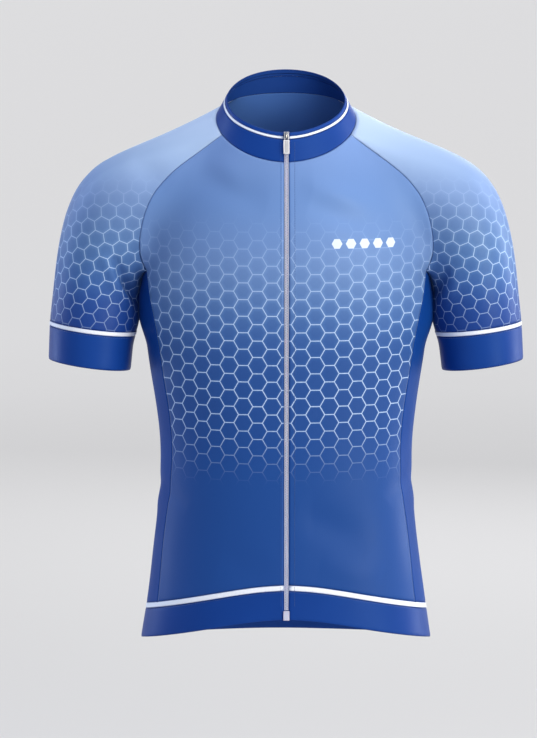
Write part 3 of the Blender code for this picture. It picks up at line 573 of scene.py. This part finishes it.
def knit_feel(tree, shader, gloss=(0.46, 0.58), depth=0.10):
    """The knit's fine wales and its slight unevenness, as bump and as roughness."""
    print_map = node(tree, "ShaderNodeUVMap", uv_map="print")
    wales = node(
        tree, "ShaderNodeTexWave",
        {"Vector": print_map, "Scale": 1000 / WALE_PITCH / WAVE_PER_UNIT, "Distortion": 1.5, "Detail": 1.0},
        1, bands_direction="X",
    )
    place = node(tree, "ShaderNodeTexCoord", output="Object")
    grain = node(tree, "ShaderNodeTexNoise", {"Vector": place, "Scale": GRAIN_SCALE, "Detail": 3.0})
    both = node(tree, "ShaderNodeMath", {0: wales, 1: 0.4, 2: grain}, operation="MULTIPLY_ADD")
    relief = node(tree, "ShaderNodeBump", {"Strength": depth, "Distance": 0.3 * MM, "Height": both})
    link(tree, relief, shader, "Normal")
    broad = node(tree, "ShaderNodeTexNoise", {"Vector": place, "Scale": BROAD_SCALE, "Detail": 2.0})
    rough = node(tree, "ShaderNodeMapRange", eased(broad, *NOISE_RANGE, *gloss), **SMOOTH)
    link(tree, rough, shader, "Roughness")


def seam_shadow(tree, colour, width=0.95, strength=0.38, tone="#3f5c96"):
    """Darkens a colour towards the edge of the piece, where it is sewn to the next one."""
    away = node(tree, "ShaderNodeAttribute", output="Fac", attribute_name="from_seam")
    near = node(tree, "ShaderNodeMapRange", eased(away, 0.25 * MM, width * MM, strength, 0.0), **SMOOTH)
    return node(
        tree, "ShaderNodeMix", {0: near, 6: colour, 7: linear(tone)}, 2, data_type="RGBA",
        blend_type="MULTIPLY",
    )


# %% The printed cloths
# Polyester knit: soft satin gloss with a faint sheen at the sides, from thousands of smooth round filaments.
KNIT = dict(IOR=1.5, Specular_IOR_Level=0.40, Sheen_Weight=0.14, Sheen_Roughness=0.25)
SHEEN_TINT = "#9ccaff"
GLOSS_TINT = "#bcd8ff"  # light that passes the dyed threads comes back bluer
BODY_BLUES = [  # height in metres, colour
    (0.04, "#7292cc"), (-0.03, "#5e7cb3"), (-0.08, "#597cb7"), (-0.13, "#6382b9"), (-0.17, "#5f80b6"),
    (-0.21, "#466ca9"), (-0.25, "#264e92"), (-0.31, "#184287"), (-0.37, "#0e3e87"), (-0.62, "#0a3b87"),
]
# The sleeve print deepens down the arm. Its palest stops at the top are partly painted sheen: the whitish
# light that the shoulder tops catch at a glancing angle.
SLEEVE_BLUES_AND_SHEEN = [
    (0.04, "#b4c8ea"), (-0.01, "#98b1d6"), (-0.05, "#7893c2"), (-0.09, "#5f7cb0"), (-0.13, "#5478ab"),
    (-0.17, "#3a61a0"), (-0.20, "#123885"), (-0.26, "#052b7c"),
]
RAMP_LOW, RAMP_HIGH = -0.64, 0.06
LINE_BLUE, GLOW_BLUE, CELL_BLUE = "#b2cbf0", "#7299d4", "#143a84"


def printed_knit(name, blues, net, motif=False):
    """The blue print with its net of hexagons, which rises and falls between the stated heights."""
    made, tree, shader = surface(name, **KNIT)
    shader.inputs["Sheen Tint"].default_value = linear(SHEEN_TINT)
    shader.inputs["Specular Tint"].default_value = linear(GLOSS_TINT)
    place = node(tree, "ShaderNodeTexCoord", output="Object")
    height = node(tree, "ShaderNodeSeparateXYZ", {0: place}, 2)
    share = node(tree, "ShaderNodeMapRange", eased(height, RAMP_LOW, RAMP_HIGH, 0.0, 1.0))
    blue = node(tree, "ShaderNodeValToRGB", {0: share})
    ramp = blue.node.color_ramp
    ramp.interpolation = "B_SPLINE"
    for _ in range(len(blues) - 2):
        ramp.elements.new(0.5)
    for stop, (level, code) in zip(ramp.elements, sorted(blues)):
        stop.position = (level - RAMP_LOW) / (RAMP_HIGH - RAMP_LOW)
        stop.color = linear(code)
    edge = honeycomb(tree, net["shift"], net["fineness"])
    rise = node(tree, "ShaderNodeMapRange", eased(height, *net["top"], net["most"], 0.0), **SMOOTH)
    fall = node(tree, "ShaderNodeMapRange", eased(height, *net["bottom"], net["least"], 1.0), **SMOOTH)
    shown = node(tree, "ShaderNodeMath", {0: rise, 1: fall}, operation="MULTIPLY")
    for low, high, start, end, code in (  # from the cell's edge in mm, strength there and further in
        (1.0, 5.0, 0.0, 0.30, CELL_BLUE),
        (0.2, 2.2, 0.16, 0.0, GLOW_BLUE),
        (LINE / 2 - 0.15, LINE / 2 + 0.25, 0.9, 0.0, LINE_BLUE),
    ):
        strength = node(tree, "ShaderNodeMapRange", eased(edge, low, high, start, end), **SMOOTH)
        share = node(tree, "ShaderNodeMath", {0: strength, 1: shown}, operation="MULTIPLY")
        blue = node(tree, "ShaderNodeMix", {0: share, 6: blue, 7: linear(code)}, 2, data_type="RGBA")
    if motif:
        blue = with_motif(tree, blue)
    link(tree, seam_shadow(tree, blue), shader, "Base Color")
    knit_feel(tree, shader)
    return made


MOTIF_CENTRE, MOTIF_PITCH, MOTIF_CELL, MOTIF_COUNT = (91.0, -126.0), 16.5, 11.0, 5  # mm on the print


def with_motif(tree, colour):
    """A short row of small solid hexagons on one side of the chest, in the print's palest blue."""
    print_map = node(tree, "ShaderNodeUVMap", uv_map="print")
    place = node(
        tree, "ShaderNodeMapping",
        {"Vector": print_map, "Scale": (1000, 1000, 0), "Location": (-MOTIF_CENTRE[0], -MOTIF_CENTRE[1], 0)},
    )
    half = MOTIF_PITCH / 2
    cell = node(
        tree, "ShaderNodeVectorMath", {0: place, 1: (half, 1000, 1), 2: (-half, -1000, -1)},
        operation="WRAP",
    )
    inside = node(
        tree, "ShaderNodeMapRange", eased(hexagon_distance(tree, cell, MOTIF_CELL), -0.1, 0.3, 0.0, 1.0)
    )
    size = node(tree, "ShaderNodeVectorMath", {0: place}, operation="ABSOLUTE")
    far = node(tree, "ShaderNodeSeparateXYZ", {0: size})
    in_row = node(tree, "ShaderNodeMath", {0: far, 1: MOTIF_COUNT * half}, operation="LESS_THAN")
    share = node(tree, "ShaderNodeMath", {0: inside, 1: in_row}, operation="MULTIPLY")
    return node(
        tree, "ShaderNodeMix", {0: share, 6: colour, 7: linear("#c3d3ef")}, 2, data_type="RGBA"
    )


# The net's shift (mm) and fineness, the heights between which it comes and goes, and its strengths.
BODY_NET = dict(
    shift=(0, -2.4), fineness=1.0, top=(-0.235, -0.085), bottom=(-0.410, -0.310), least=0.0, most=1.0,
)
SLEEVE_NET = dict(
    shift=(0, 0), fineness=1.14, top=(-0.15, -0.04), bottom=(-0.25, -0.165), least=0.3, most=0.8,
)
body_print = printed_knit("sublimation printed polyester knit, body", BODY_BLUES, BODY_NET)
chest_print = printed_knit("sublimation printed polyester knit, left front", BODY_BLUES, BODY_NET, True)
sleeve_print = printed_knit("sublimation printed polyester knit, sleeves", SLEEVE_BLUES_AND_SHEEN, SLEEVE_NET)
print(len(body_print.node_tree.nodes), "nodes in the body print")


# %% The plain cloths
PLAIN_KNIT = KNIT | dict(IOR=1.42, Specular_IOR_Level=0.36, Sheen_Weight=0.06)
PLAIN_TINT = "#93c2f8"
TONE_SCALE = 14.0  # lighter patches about 70 mm wide


def plain_knit(name, code, light_code, gloss=(0.46, 0.58), seam_tone="#3f5c96", depth=0.08):
    """One dyed colour, a little lighter here and there, as worn knit catches the light."""
    made, tree, shader = surface(name, **PLAIN_KNIT)
    shader.inputs["Sheen Tint"].default_value = linear(PLAIN_TINT)
    shader.inputs["Specular Tint"].default_value = linear(PLAIN_TINT)
    place = node(tree, "ShaderNodeTexCoord", output="Object")
    tone = node(tree, "ShaderNodeTexNoise", {"Vector": place, "Scale": TONE_SCALE, "Detail": 2.0})
    share = node(tree, "ShaderNodeMapRange", eased(tone, *NOISE_RANGE, 0.0, 0.5), **SMOOTH)
    colour = node(
        tree, "ShaderNodeMix", {0: share, 6: linear(code), 7: linear(light_code)}, 2, data_type="RGBA"
    )
    link(tree, seam_shadow(tree, colour, tone=seam_tone), shader, "Base Color")
    knit_feel(tree, shader, gloss, depth)
    return made


side_knit = plain_knit("polyester mesh knit, side panels", "#033482", "#063a8b", (0.56, 0.68))
band_knit = plain_knit("elastane band knit, deep blue", "#0d3482", "#103a8b", (0.42, 0.52), depth=0.03)
reverse_knit = plain_knit("unprinted reverse of the knit", "#3d64ac", "#446cb4", (0.6, 0.7))
reverse_band = plain_knit("reverse of the band knit", "#163a86", "#1b4090", (0.6, 0.7))

# Woven polyester tape: cool white and nearly matt, with a fine rib across it.
TAPE_RIB = 1.6  # mm; the real rib is 0.5 mm, too fine to show
white_tape, tree, shader = surface("woven polyester tape, white", IOR=1.5, Roughness=0.55, Sheen_Weight=0.15)
print_map = node(tree, "ShaderNodeUVMap", uv_map="print")
rib = node(
    tree, "ShaderNodeTexWave", {"Vector": print_map, "Scale": 1000 / TAPE_RIB / WAVE_PER_UNIT}, 1,
    bands_direction="X",
)
relief = node(tree, "ShaderNodeBump", {"Strength": 0.2, "Distance": 0.2 * MM, "Height": rib})
link(tree, relief, shader, "Normal")
tape_colour = node(
    tree, "ShaderNodeMix", {0: rib, 6: linear("#cfdaf0"), 7: linear("#e0e9f8")}, 2, data_type="RGBA"
)
link(tree, seam_shadow(tree, tape_colour, width=1.0, strength=0.55, tone="#5d7ab8"), shader, "Base Color")
print(len(bpy.data.materials), "materials")

# %% Sew all the cloth
PATTERN = [  # piece, CAD node, face, reverse, rounds, dip at the seams (mm), lift (mm)
    ("front_panel_left", "front_left", chest_print, reverse_knit, 3, 0.3, 0),
    ("front_panel_right", "front_right", body_print, reverse_knit, 3, 0.3, 0),
    ("back_panel", "back", body_print, reverse_knit, 3, 0.3, 0),
    ("side_gusset_left", "side_panel_left", side_knit, reverse_knit, 3, 0.3, 0),
    ("side_gusset_right", "side_panel_right", side_knit, reverse_knit, 3, 0.3, 0),
    ("raglan_sleeve_left", "sleeve_left", sleeve_print, reverse_knit, 3, 0.3, 0),
    ("raglan_sleeve_right", "sleeve_right", sleeve_print, reverse_knit, 3, 0.3, 0),
    ("cuff_tape_left", "cuff_stripe_left", white_tape, reverse_band, 2, 0.1, 0.2),
    ("cuff_tape_right", "cuff_stripe_right", white_tape, reverse_band, 2, 0.1, 0.2),
    ("cuff_band_left", "cuff_left", band_knit, reverse_band, 3, 0.4, 0),
    ("cuff_band_right", "cuff_right", band_knit, reverse_band, 3, 0.4, 0),
    ("hem_tape", "hem_stripe", white_tape, reverse_band, 2, 0.1, 0.2),
    ("hem_elastic", "hem_band", band_knit, reverse_band, 3, 0.4, 0),
    ("collar_stand", "collar", band_knit, reverse_band, 3, 0.5, 0),
    ("collar_tape", "collar_piping", white_tape, reverse_band, 2, 0.1, 0.2),
    ("collar_rim", "collar_edge", band_knit, reverse_band, 2, 0.3, 0),
    ("pocket_panel", "rear_pockets", body_print, reverse_knit, 3, 0.3, 0),
    ("pocket_elastic", "rear_pocket_binding", band_knit, reverse_band, 2, 0.2, 0),
]
for name, node_name, face, reverse, levels, dip, lift in PATTERN:
    sew(name, node_name, face, reverse, levels, dip * MM, lift * MM)

# %% [markdown]
# ## The cut of each piece
# A pattern cutter would draw these shapes flat. Knit worn close is stretched a few hundredths wider than its
# cut, so each flat size is a little smaller than the cloth measures here. Narrow tapes go with the piece
# they are sewn to.

CUTS = [  # piece, width and length (m), area (m2), pieces that go with it
    ("front_panel_left", 0.195, 0.555, 0.081, ()),
    ("front_panel_right", 0.195, 0.555, 0.081, ()),
    ("back_panel", 0.40, 0.62, 0.175, ()),
    ("side_gusset_left", 0.104, 0.43, 0.043, ()),
    ("side_gusset_right", 0.104, 0.43, 0.043, ()),
    ("raglan_sleeve_left", 0.36, 0.27, 0.072, ()),
    ("raglan_sleeve_right", 0.36, 0.27, 0.072, ()),
    ("cuff_band_left", 0.32, 0.040, None, ("cuff_tape_left",)),
    ("cuff_band_right", 0.32, 0.040, None, ("cuff_tape_right",)),
    ("hem_elastic", 0.89, 0.0345, None, ("hem_tape",)),
    ("collar_stand", 0.46, 0.025, 0.0098, ("collar_tape", "collar_rim")),
    ("pocket_panel", 0.33, 0.155, 0.046, ("pocket_elastic",)),
]
for name, width, length, area, beside in CUTS:
    [pieces[other] for other in beside]
print(len(CUTS), "cuts declared")

# %% [markdown]
# ## The zip
# A coil zip is two nylon threads wound into flat loops that lock into each other. Closed, the loops make a
# narrow ribbed band with a smooth edge cord on each side. One loop is a tiny bevelled bar, copied along each
# side with half a pitch between the two rows; a copy has only a few faces, because there are hundreds.

# %% The line of the zip
COIL_EDGE = 2.15 * MM  # points of the coil's skin further out than this lie on its edge
END_SPAN = 12 * MM  # the slope at each end is taken over this length
SLOPE_STEP = 3 * MM  # and the slope in between over this much each way
coil_skin = bmesh.new()
coil_skin.from_mesh(refined(outer_skin("zip_coil", distance=0), 3))
edge_line = sorted(
    (tuple(vertex.co) for vertex in coil_skin.verts if vertex.co.x > COIL_EDGE),
    key=lambda point: point[2],
)
coil_skin.free()
line = np.array(edge_line)
low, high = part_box("zip_coil")
for end, level, inside in ((0, low[2], END_SPAN), (-1, high[2], -END_SPAN)):
    # Smoothing draws the ends in, so the line runs straight on to the solid's own ends.
    x, y, z = line[end]
    slope = (float(np.interp(z + inside, line[:, 2], line[:, 1])) - y) / inside
    tip = [[x, y + slope * (level - z), level]]
    line = np.vstack([tip, line] if end == 0 else [line, tip])
way = np.concatenate([[0], np.cumsum(np.hypot(np.diff(line[:, 1]), np.diff(line[:, 2])))])


def zip_place(distance):
    """A matrix at this distance up the zip: X across, -Y out of the cloth, Z up the zip."""
    y, z = (float(np.interp(distance, way, line[:, axis])) for axis in (1, 2))
    ahead, behind = (min(max(distance + step, 0), way[-1]) for step in (SLOPE_STEP, -SLOPE_STEP))
    rise = Vector((
        0, float(np.interp(ahead, way, line[:, 1]) - np.interp(behind, way, line[:, 1])),
        float(np.interp(ahead, way, line[:, 2]) - np.interp(behind, way, line[:, 2])),
    )).normalized()
    out = rise.cross(Vector((1, 0, 0)))
    turned = Matrix((Vector((1, 0, 0)), out, rise)).transposed().to_4x4()
    turned.translation = Vector((0, y, z))
    return turned


print("the coil is", round(way[-1] / MM), "mm long, of", len(line), "points")

# %% Loops, edge cords and their plastic
# Nylon monofilament: translucent pale lilac-grey, smooth and slightly glossy.
coil_nylon = mottled(
    "nylon monofilament coil", "#a4abc9", "#b7bdd8", 60.0, IOR=1.53, Roughness=0.34,
    Subsurface_Weight=0.15, Subsurface_Scale=2 * MM,
)[0]
# Spun nylon: a paler and less glossy cord, with the light stripes of its twist.
cord_nylon, tree, shader = surface("nylon edge cord", IOR=1.53, Roughness=0.4, Sheen_Weight=0.1)
place = node(tree, "ShaderNodeTexCoord", output="Object")
twist = node(tree, "ShaderNodeTexWave", {"Vector": place, "Scale": 420.0}, 1, bands_direction="Z")
colour = node(
    tree, "ShaderNodeMix", {0: twist, 6: linear("#c3c9e2"), 7: linear("#d6daee")}, 2, data_type="RGBA"
)
link(tree, colour, shader, "Base Color")

LOOP_PITCH = 1.9 * MM
LOOP = (2.4 * MM, 0.9 * MM, 1.15 * MM)  # across, through the cloth, and up the zip
LOOP_OFFSET, LOOP_OUT = 0.8 * MM, -0.15 * MM
CORD_X, CORD_OUT, CORD, CORD_RINGS = 1.9 * MM, -0.1 * MM, (0.7 * MM, 1.0 * MM), 90


def small_bar(name, size, edge):
    """A bar with bevelled long edges, as a mesh to copy many times."""
    form = bmesh.new()
    bmesh.ops.create_cube(form, size=1)
    bmesh.ops.scale(form, vec=size, verts=form.verts)
    longest = max(size)
    long_edges = [side for side in form.edges if side.calc_length() > 0.99 * longest]
    bmesh.ops.bevel(
        form, geom=long_edges, offset=edge, segments=1, profile=0.5, affect="EDGES", material=-1
    )
    return meshed(form, name)


def add_copy(form, mesh, matrix):
    """Adds a copy of a small mesh to a bmesh, in its place."""
    copy = mesh.copy()
    copy.transform(matrix)
    form.from_mesh(copy)
    bpy.data.meshes.remove(copy)


loop_bar = small_bar("loop", LOOP, 0.3 * MM)
coil = bmesh.new()
for side in (-1, 1):
    for step in range(int(way[-1] / LOOP_PITCH - 0.5)):
        distance = (step + 0.5 + 0.25 * side) * LOOP_PITCH
        place = zip_place(distance) @ Matrix.Translation((side * LOOP_OFFSET, LOOP_OUT, 0))
        add_copy(coil, loop_bar, place)
for side in (-1, 1):
    ring = None
    for distance in np.linspace(0, way[-1], CORD_RINGS):
        matrix = zip_place(float(distance)) @ Matrix.Translation((side * CORD_X, CORD_OUT, 0))
        circle = bmesh.ops.create_circle(coil, segments=8, radius=0.5)["verts"]
        bmesh.ops.scale(coil, vec=(CORD[0], CORD[1], 1), verts=circle)
        bmesh.ops.transform(coil, verts=circle, matrix=matrix)
        edges = list({edge for vertex in circle for edge in vertex.link_edges})
        if ring:
            walls = bmesh.ops.bridge_loops(coil, edges=ring + edges)["faces"]
            for face in walls:
                face.material_index = 1
        ring = edges
coil.normal_update()
bmesh.ops.recalc_face_normals(coil, faces=coil.faces)
coil_mesh = meshed(coil, "zip_loops")
coil_mesh.set_sharp_from_angle(angle=math.radians(40))
coil_mesh.materials.append(coil_nylon)
coil_mesh.materials.append(cord_nylon)
add_piece("zip_loops", coil_mesh, GARMENT, "zip_coil")
print("zip_loops", len(coil_mesh.polygons), "faces")

# %% [markdown]
# ## The pull tab and the slider
# The tab is a moulded frame round a softer grey panel, hung on a small bar under the slider's bridge. Boxes
# with rounded edges make the frame, an inset sinks its middle, and the two arms run up to the bar. It keeps
# the place and the size of its solid, and rides on that body so that it swings with it.

# %% The pull tab
# Moulded nylon: off-white, half gloss, with the faint mottle of a textured mould.
pull_plastic, tree, shader, mottle = mottled(
    "moulded nylon, off-white", "#bcc0cb", "#cfd3dc", 900.0, IOR=1.53, Roughness=0.38
)
relief = node(tree, "ShaderNodeBump", {"Strength": 0.15, "Distance": 0.1 * MM, "Height": mottle})
link(tree, relief, shader, "Normal")
# Soft thermoplastic rubber: mid grey and nearly matt.
pull_rubber = mottled("thermoplastic rubber, grey", "#9a9da8", "#aeb1bb", 700.0, IOR=1.5, Roughness=0.6)[0]
# Die-cast zinc, plated and tumbled: a satin grey metal with fine random scuffs.
slider_metal, tree, shader, scuff = mottled(
    "satin plated zinc", "#9b9ea6", "#b4b7be", 1400.0, detail=4.0, Metallic=1.0
)
link(tree, node(tree, "ShaderNodeMapRange", eased(scuff, *NOISE_RANGE, 0.26, 0.42)), shader, "Roughness")

PIVOT = Vector((0, -0.07377, -0.00346))
LEAN = -0.3956  # radians; the tab hangs along the collar's front
TAB_WIDTH, TAB_THICK, TAB_TOP, TAB_END = 7.0 * MM, 1.5 * MM, -6.0 * MM, -23.0 * MM
ARM, ARM_X, BAR_RADIUS = (1.1 * MM, 1.3 * MM, 7.0 * MM), 2.05 * MM, 0.65 * MM


def rounded_box(form, size, centre, edge, steps=3):
    """Adds a box with rounded edges to a bmesh, and returns its vertices."""
    cube = bmesh.ops.create_cube(form, size=1)["verts"]
    bmesh.ops.scale(form, vec=size, verts=cube)
    edges = list({beside for vertex in cube for beside in vertex.link_edges})
    made = bmesh.ops.bevel(
        form, geom=edges, offset=edge, segments=steps, profile=0.5, affect="EDGES", material=-1
    )
    points = list({vertex for vertex in cube if vertex.is_valid} | set(made["verts"]))
    bmesh.ops.translate(form, vec=centre, verts=points)
    return points


tab = bmesh.new()
rounded_box(
    tab, (TAB_WIDTH, TAB_THICK, TAB_TOP - TAB_END), (0, 0, (TAB_TOP + TAB_END) / 2), 0.6 * MM
)
for facing in (-1, 1):
    flat = max(tab.faces, key=lambda face: face.calc_area() * (face.normal.y * facing > 0.9))
    bmesh.ops.inset_individual(tab, faces=[flat], thickness=0.9 * MM, depth=0)
    sunk = bmesh.ops.inset_individual(tab, faces=[flat], thickness=0.25 * MM, depth=-0.3 * MM)
    flat.material_index = 1
    bmesh.ops.inset_individual(tab, faces=[flat], thickness=0.9 * MM, depth=0)
    bmesh.ops.inset_individual(tab, faces=[flat], thickness=0.3 * MM, depth=0.2 * MM)
for side in (-1, 1):
    arm = rounded_box(tab, ARM, (side * ARM_X, 0, -ARM[2] / 2), 0.25 * MM)
    for face in {face for vertex in arm for face in vertex.link_faces}:
        face.material_index = 2
bar = bmesh.ops.create_cone(
    tab, cap_ends=True, segments=24, radius1=BAR_RADIUS, radius2=BAR_RADIUS, depth=2 * ARM_X + ARM[0]
)["verts"]
bmesh.ops.rotate(tab, verts=bar, cent=(0, 0, 0), matrix=Matrix.Rotation(math.pi / 2, 3, "Y"))
for face in {face for vertex in bar for face in vertex.link_faces}:
    face.material_index = 2
bmesh.ops.transform(
    tab, verts=tab.verts, matrix=Matrix.Translation(PIVOT) @ Matrix.Rotation(LEAN, 4, "X")
)
tab_mesh = meshed(tab, "pull_tab_moulding")
tab_mesh.set_sharp_from_angle(angle=math.radians(35))
for finish in (pull_plastic, pull_rubber, slider_metal):
    tab_mesh.materials.append(finish)
add_piece("pull_tab_moulding", tab_mesh, "pull_tab", "pull_tab")
print("pull_tab_moulding", len(tab_mesh.polygons), "faces")

# %% The slider, the stop and the zip's tapes keep their solids
# Woven polyester zip tape: deep blue and matt, with a fine twill.
zip_weave, tree, shader = surface("woven polyester zip tape", IOR=1.5, Roughness=0.7, Sheen_Weight=0.1)
place = node(tree, "ShaderNodeTexCoord", output="Object")
twill = node(tree, "ShaderNodeTexWave", {"Vector": place, "Scale": 300.0}, 1, bands_direction="DIAGONAL")
tint = node(
    tree, "ShaderNodeMix", {0: twill, 6: linear("#12306f"), 7: linear("#1b3f86")}, 2, data_type="RGBA"
)
link(tree, tint, shader, "Base Color")
for name, finish in (
    ("zip_slider", slider_metal), ("zip_stop", coil_nylon), ("zip_tape_left", zip_weave),
    ("zip_tape_right", zip_weave),
):
    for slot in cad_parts[name].material_slots:
        slot.material = finish

# %% [markdown]
# ## Stitches
# A seam on knit is held by thousands of stitches. The ones that show lie in rows: beside the zip, under the
# white tapes and round the pockets. One stitch is a tiny bevelled bar. A row is laid by walking along a line
# on the cloth in even steps, finding the nearest place on the cloth, and turning a bar along the way.

# %% Rows of stitches
STITCH, STITCH_STEP, STITCH_OUT = (0.42 * MM, 0.34 * MM, 2.1 * MM), 2.9 * MM, 0.05 * MM
stitch_bar = small_bar("stitch", STITCH, 0.1 * MM)
# Spun polyester thread: a round, slightly shiny strand, with a twist too fine to show.
dark_thread = mottled(
    "spun polyester thread, navy", "#183671", "#27498c", 1500.0, IOR=1.5, Roughness=0.5, Sheen_Weight=0.1
)[0]


def skin_of(*names):
    """A search tree over the outer faces of some finished pieces."""
    joint = bmesh.new()
    for name in names:
        joint.from_mesh(pieces[name].data)
    tree = BVHTree.FromBMesh(joint)
    joint.free()
    return tree


def stitch_row(form, skin, route):
    """Lays stitches on the skin along a route of rough points."""
    points = np.array([tuple(point) for point in route])
    way = np.concatenate([[0], np.cumsum(np.linalg.norm(np.diff(points, axis=0), axis=1))])
    for distance in np.arange(STITCH_STEP, way[-1] - STITCH_STEP / 2, STITCH_STEP):
        here, ahead = (
            Vector([np.interp(at, way, points[:, axis]) for axis in range(3)])
            for at in (distance, distance + MM)
        )
        spot, out = skin.find_nearest(here)[:2]
        forward = (ahead - here).normalized()
        forward = (forward - out * forward.dot(out)).normalized()
        across = out.cross(forward)
        turned = Matrix((across, out, forward)).transposed().to_4x4()
        turned.translation = spot + out * STITCH_OUT
        add_copy(form, stitch_bar, turned)


def finish_stitches(name, form):
    """Puts the rows laid so far in the scene as one piece."""
    mesh = meshed(form, name)
    mesh.materials.append(dark_thread)
    add_piece(name, mesh, GARMENT)
    print(name, len(mesh.polygons), "faces")


STEPS_A_RADIAN = 20


def top_edge(name, turn_of, height_of, down):
    """Points this far below the upper edge of a band, in order round it."""
    highest = {}
    mesh = pieces[name].data
    for vertex, near in zip(mesh.vertices, mesh.attributes["from_seam"].data):
        if near.value > 0:
            continue
        step = round(turn_of(vertex.co) * STEPS_A_RADIAN)
        if step not in highest or height_of(vertex.co) > height_of(highest[step]):
            highest[step] = vertex.co.copy()
    route = [highest[step] - Vector((0, 0, down)) for step in sorted(highest)]
    return route + [route[0]]


def round_trunk(point):
    """How far round the trunk a point lies, in radians from the zip."""
    return math.atan2(point.x, -point.y)


def round_arm(point):
    """How far round the arm a point lies, in radians."""
    return print_place(point, "sleeve")[0] / ARM_RADIUS


def up_arm(point):
    """How far up along the arm a point lies, in metres."""
    return print_place(point, "sleeve")[1]


# %% Stitch the zip, the hem and the cuffs
ZIP_ROWS = (-6.3 * MM, 9.6 * MM)  # to the right and to the left of the zip
ZIP_ROW_ENDS, ZIP_ROW_POINTS = (3 * MM, 6 * MM), 70  # how far inside the coil's ends, and how many points
BAND_ROW = 2.0 * MM  # below the band's upper edge
fronts = skin_of("front_panel_left", "front_panel_right", "hem_elastic", "hem_tape", "collar_stand")
rows = bmesh.new()
for x in ZIP_ROWS:
    heights = np.linspace(line[0, 2] + ZIP_ROW_ENDS[0], line[-1, 2] - ZIP_ROW_ENDS[1], ZIP_ROW_POINTS)
    depths = np.interp(heights, line[:, 2], line[:, 1])
    stitch_row(rows, fronts, [(x, y, z) for y, z in zip(depths, heights)])
finish_stitches("zip_stitches", rows)

rows = bmesh.new()
route = top_edge("hem_elastic", round_trunk, lambda point: point.z, BAND_ROW)[:-1]
stitch_row(rows, skin_of("hem_elastic"), route)
finish_stitches("hem_stitches", rows)

for side in ("left", "right"):
    rows = bmesh.new()
    band = "cuff_band_" + side
    stitch_row(rows, skin_of(band), top_edge(band, round_arm, up_arm, BAND_ROW))
    finish_stitches("cuff_stitches_" + side, rows)

# %% Stitch the pockets
POCKET_ROW, POCKET_POINTS = 3.0 * MM, 20
panel = skin_of("pocket_panel")
low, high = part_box("rear_pockets")
half = (high[0] - low[0]) / 2 - POCKET_ROW
bottom, top = low[2] + POCKET_ROW, high[2] - POCKET_ROW
rows = bmesh.new()
for share in (-1, -1 / 3, 1 / 3, 1):
    stitch_row(rows, panel, [(share * half, high[1], z) for z in np.linspace(bottom, top, POCKET_POINTS)])
stitch_row(rows, panel, [(x, high[1], bottom) for x in np.linspace(-half, half, POCKET_POINTS)])
finish_stitches("pocket_stitches", rows)
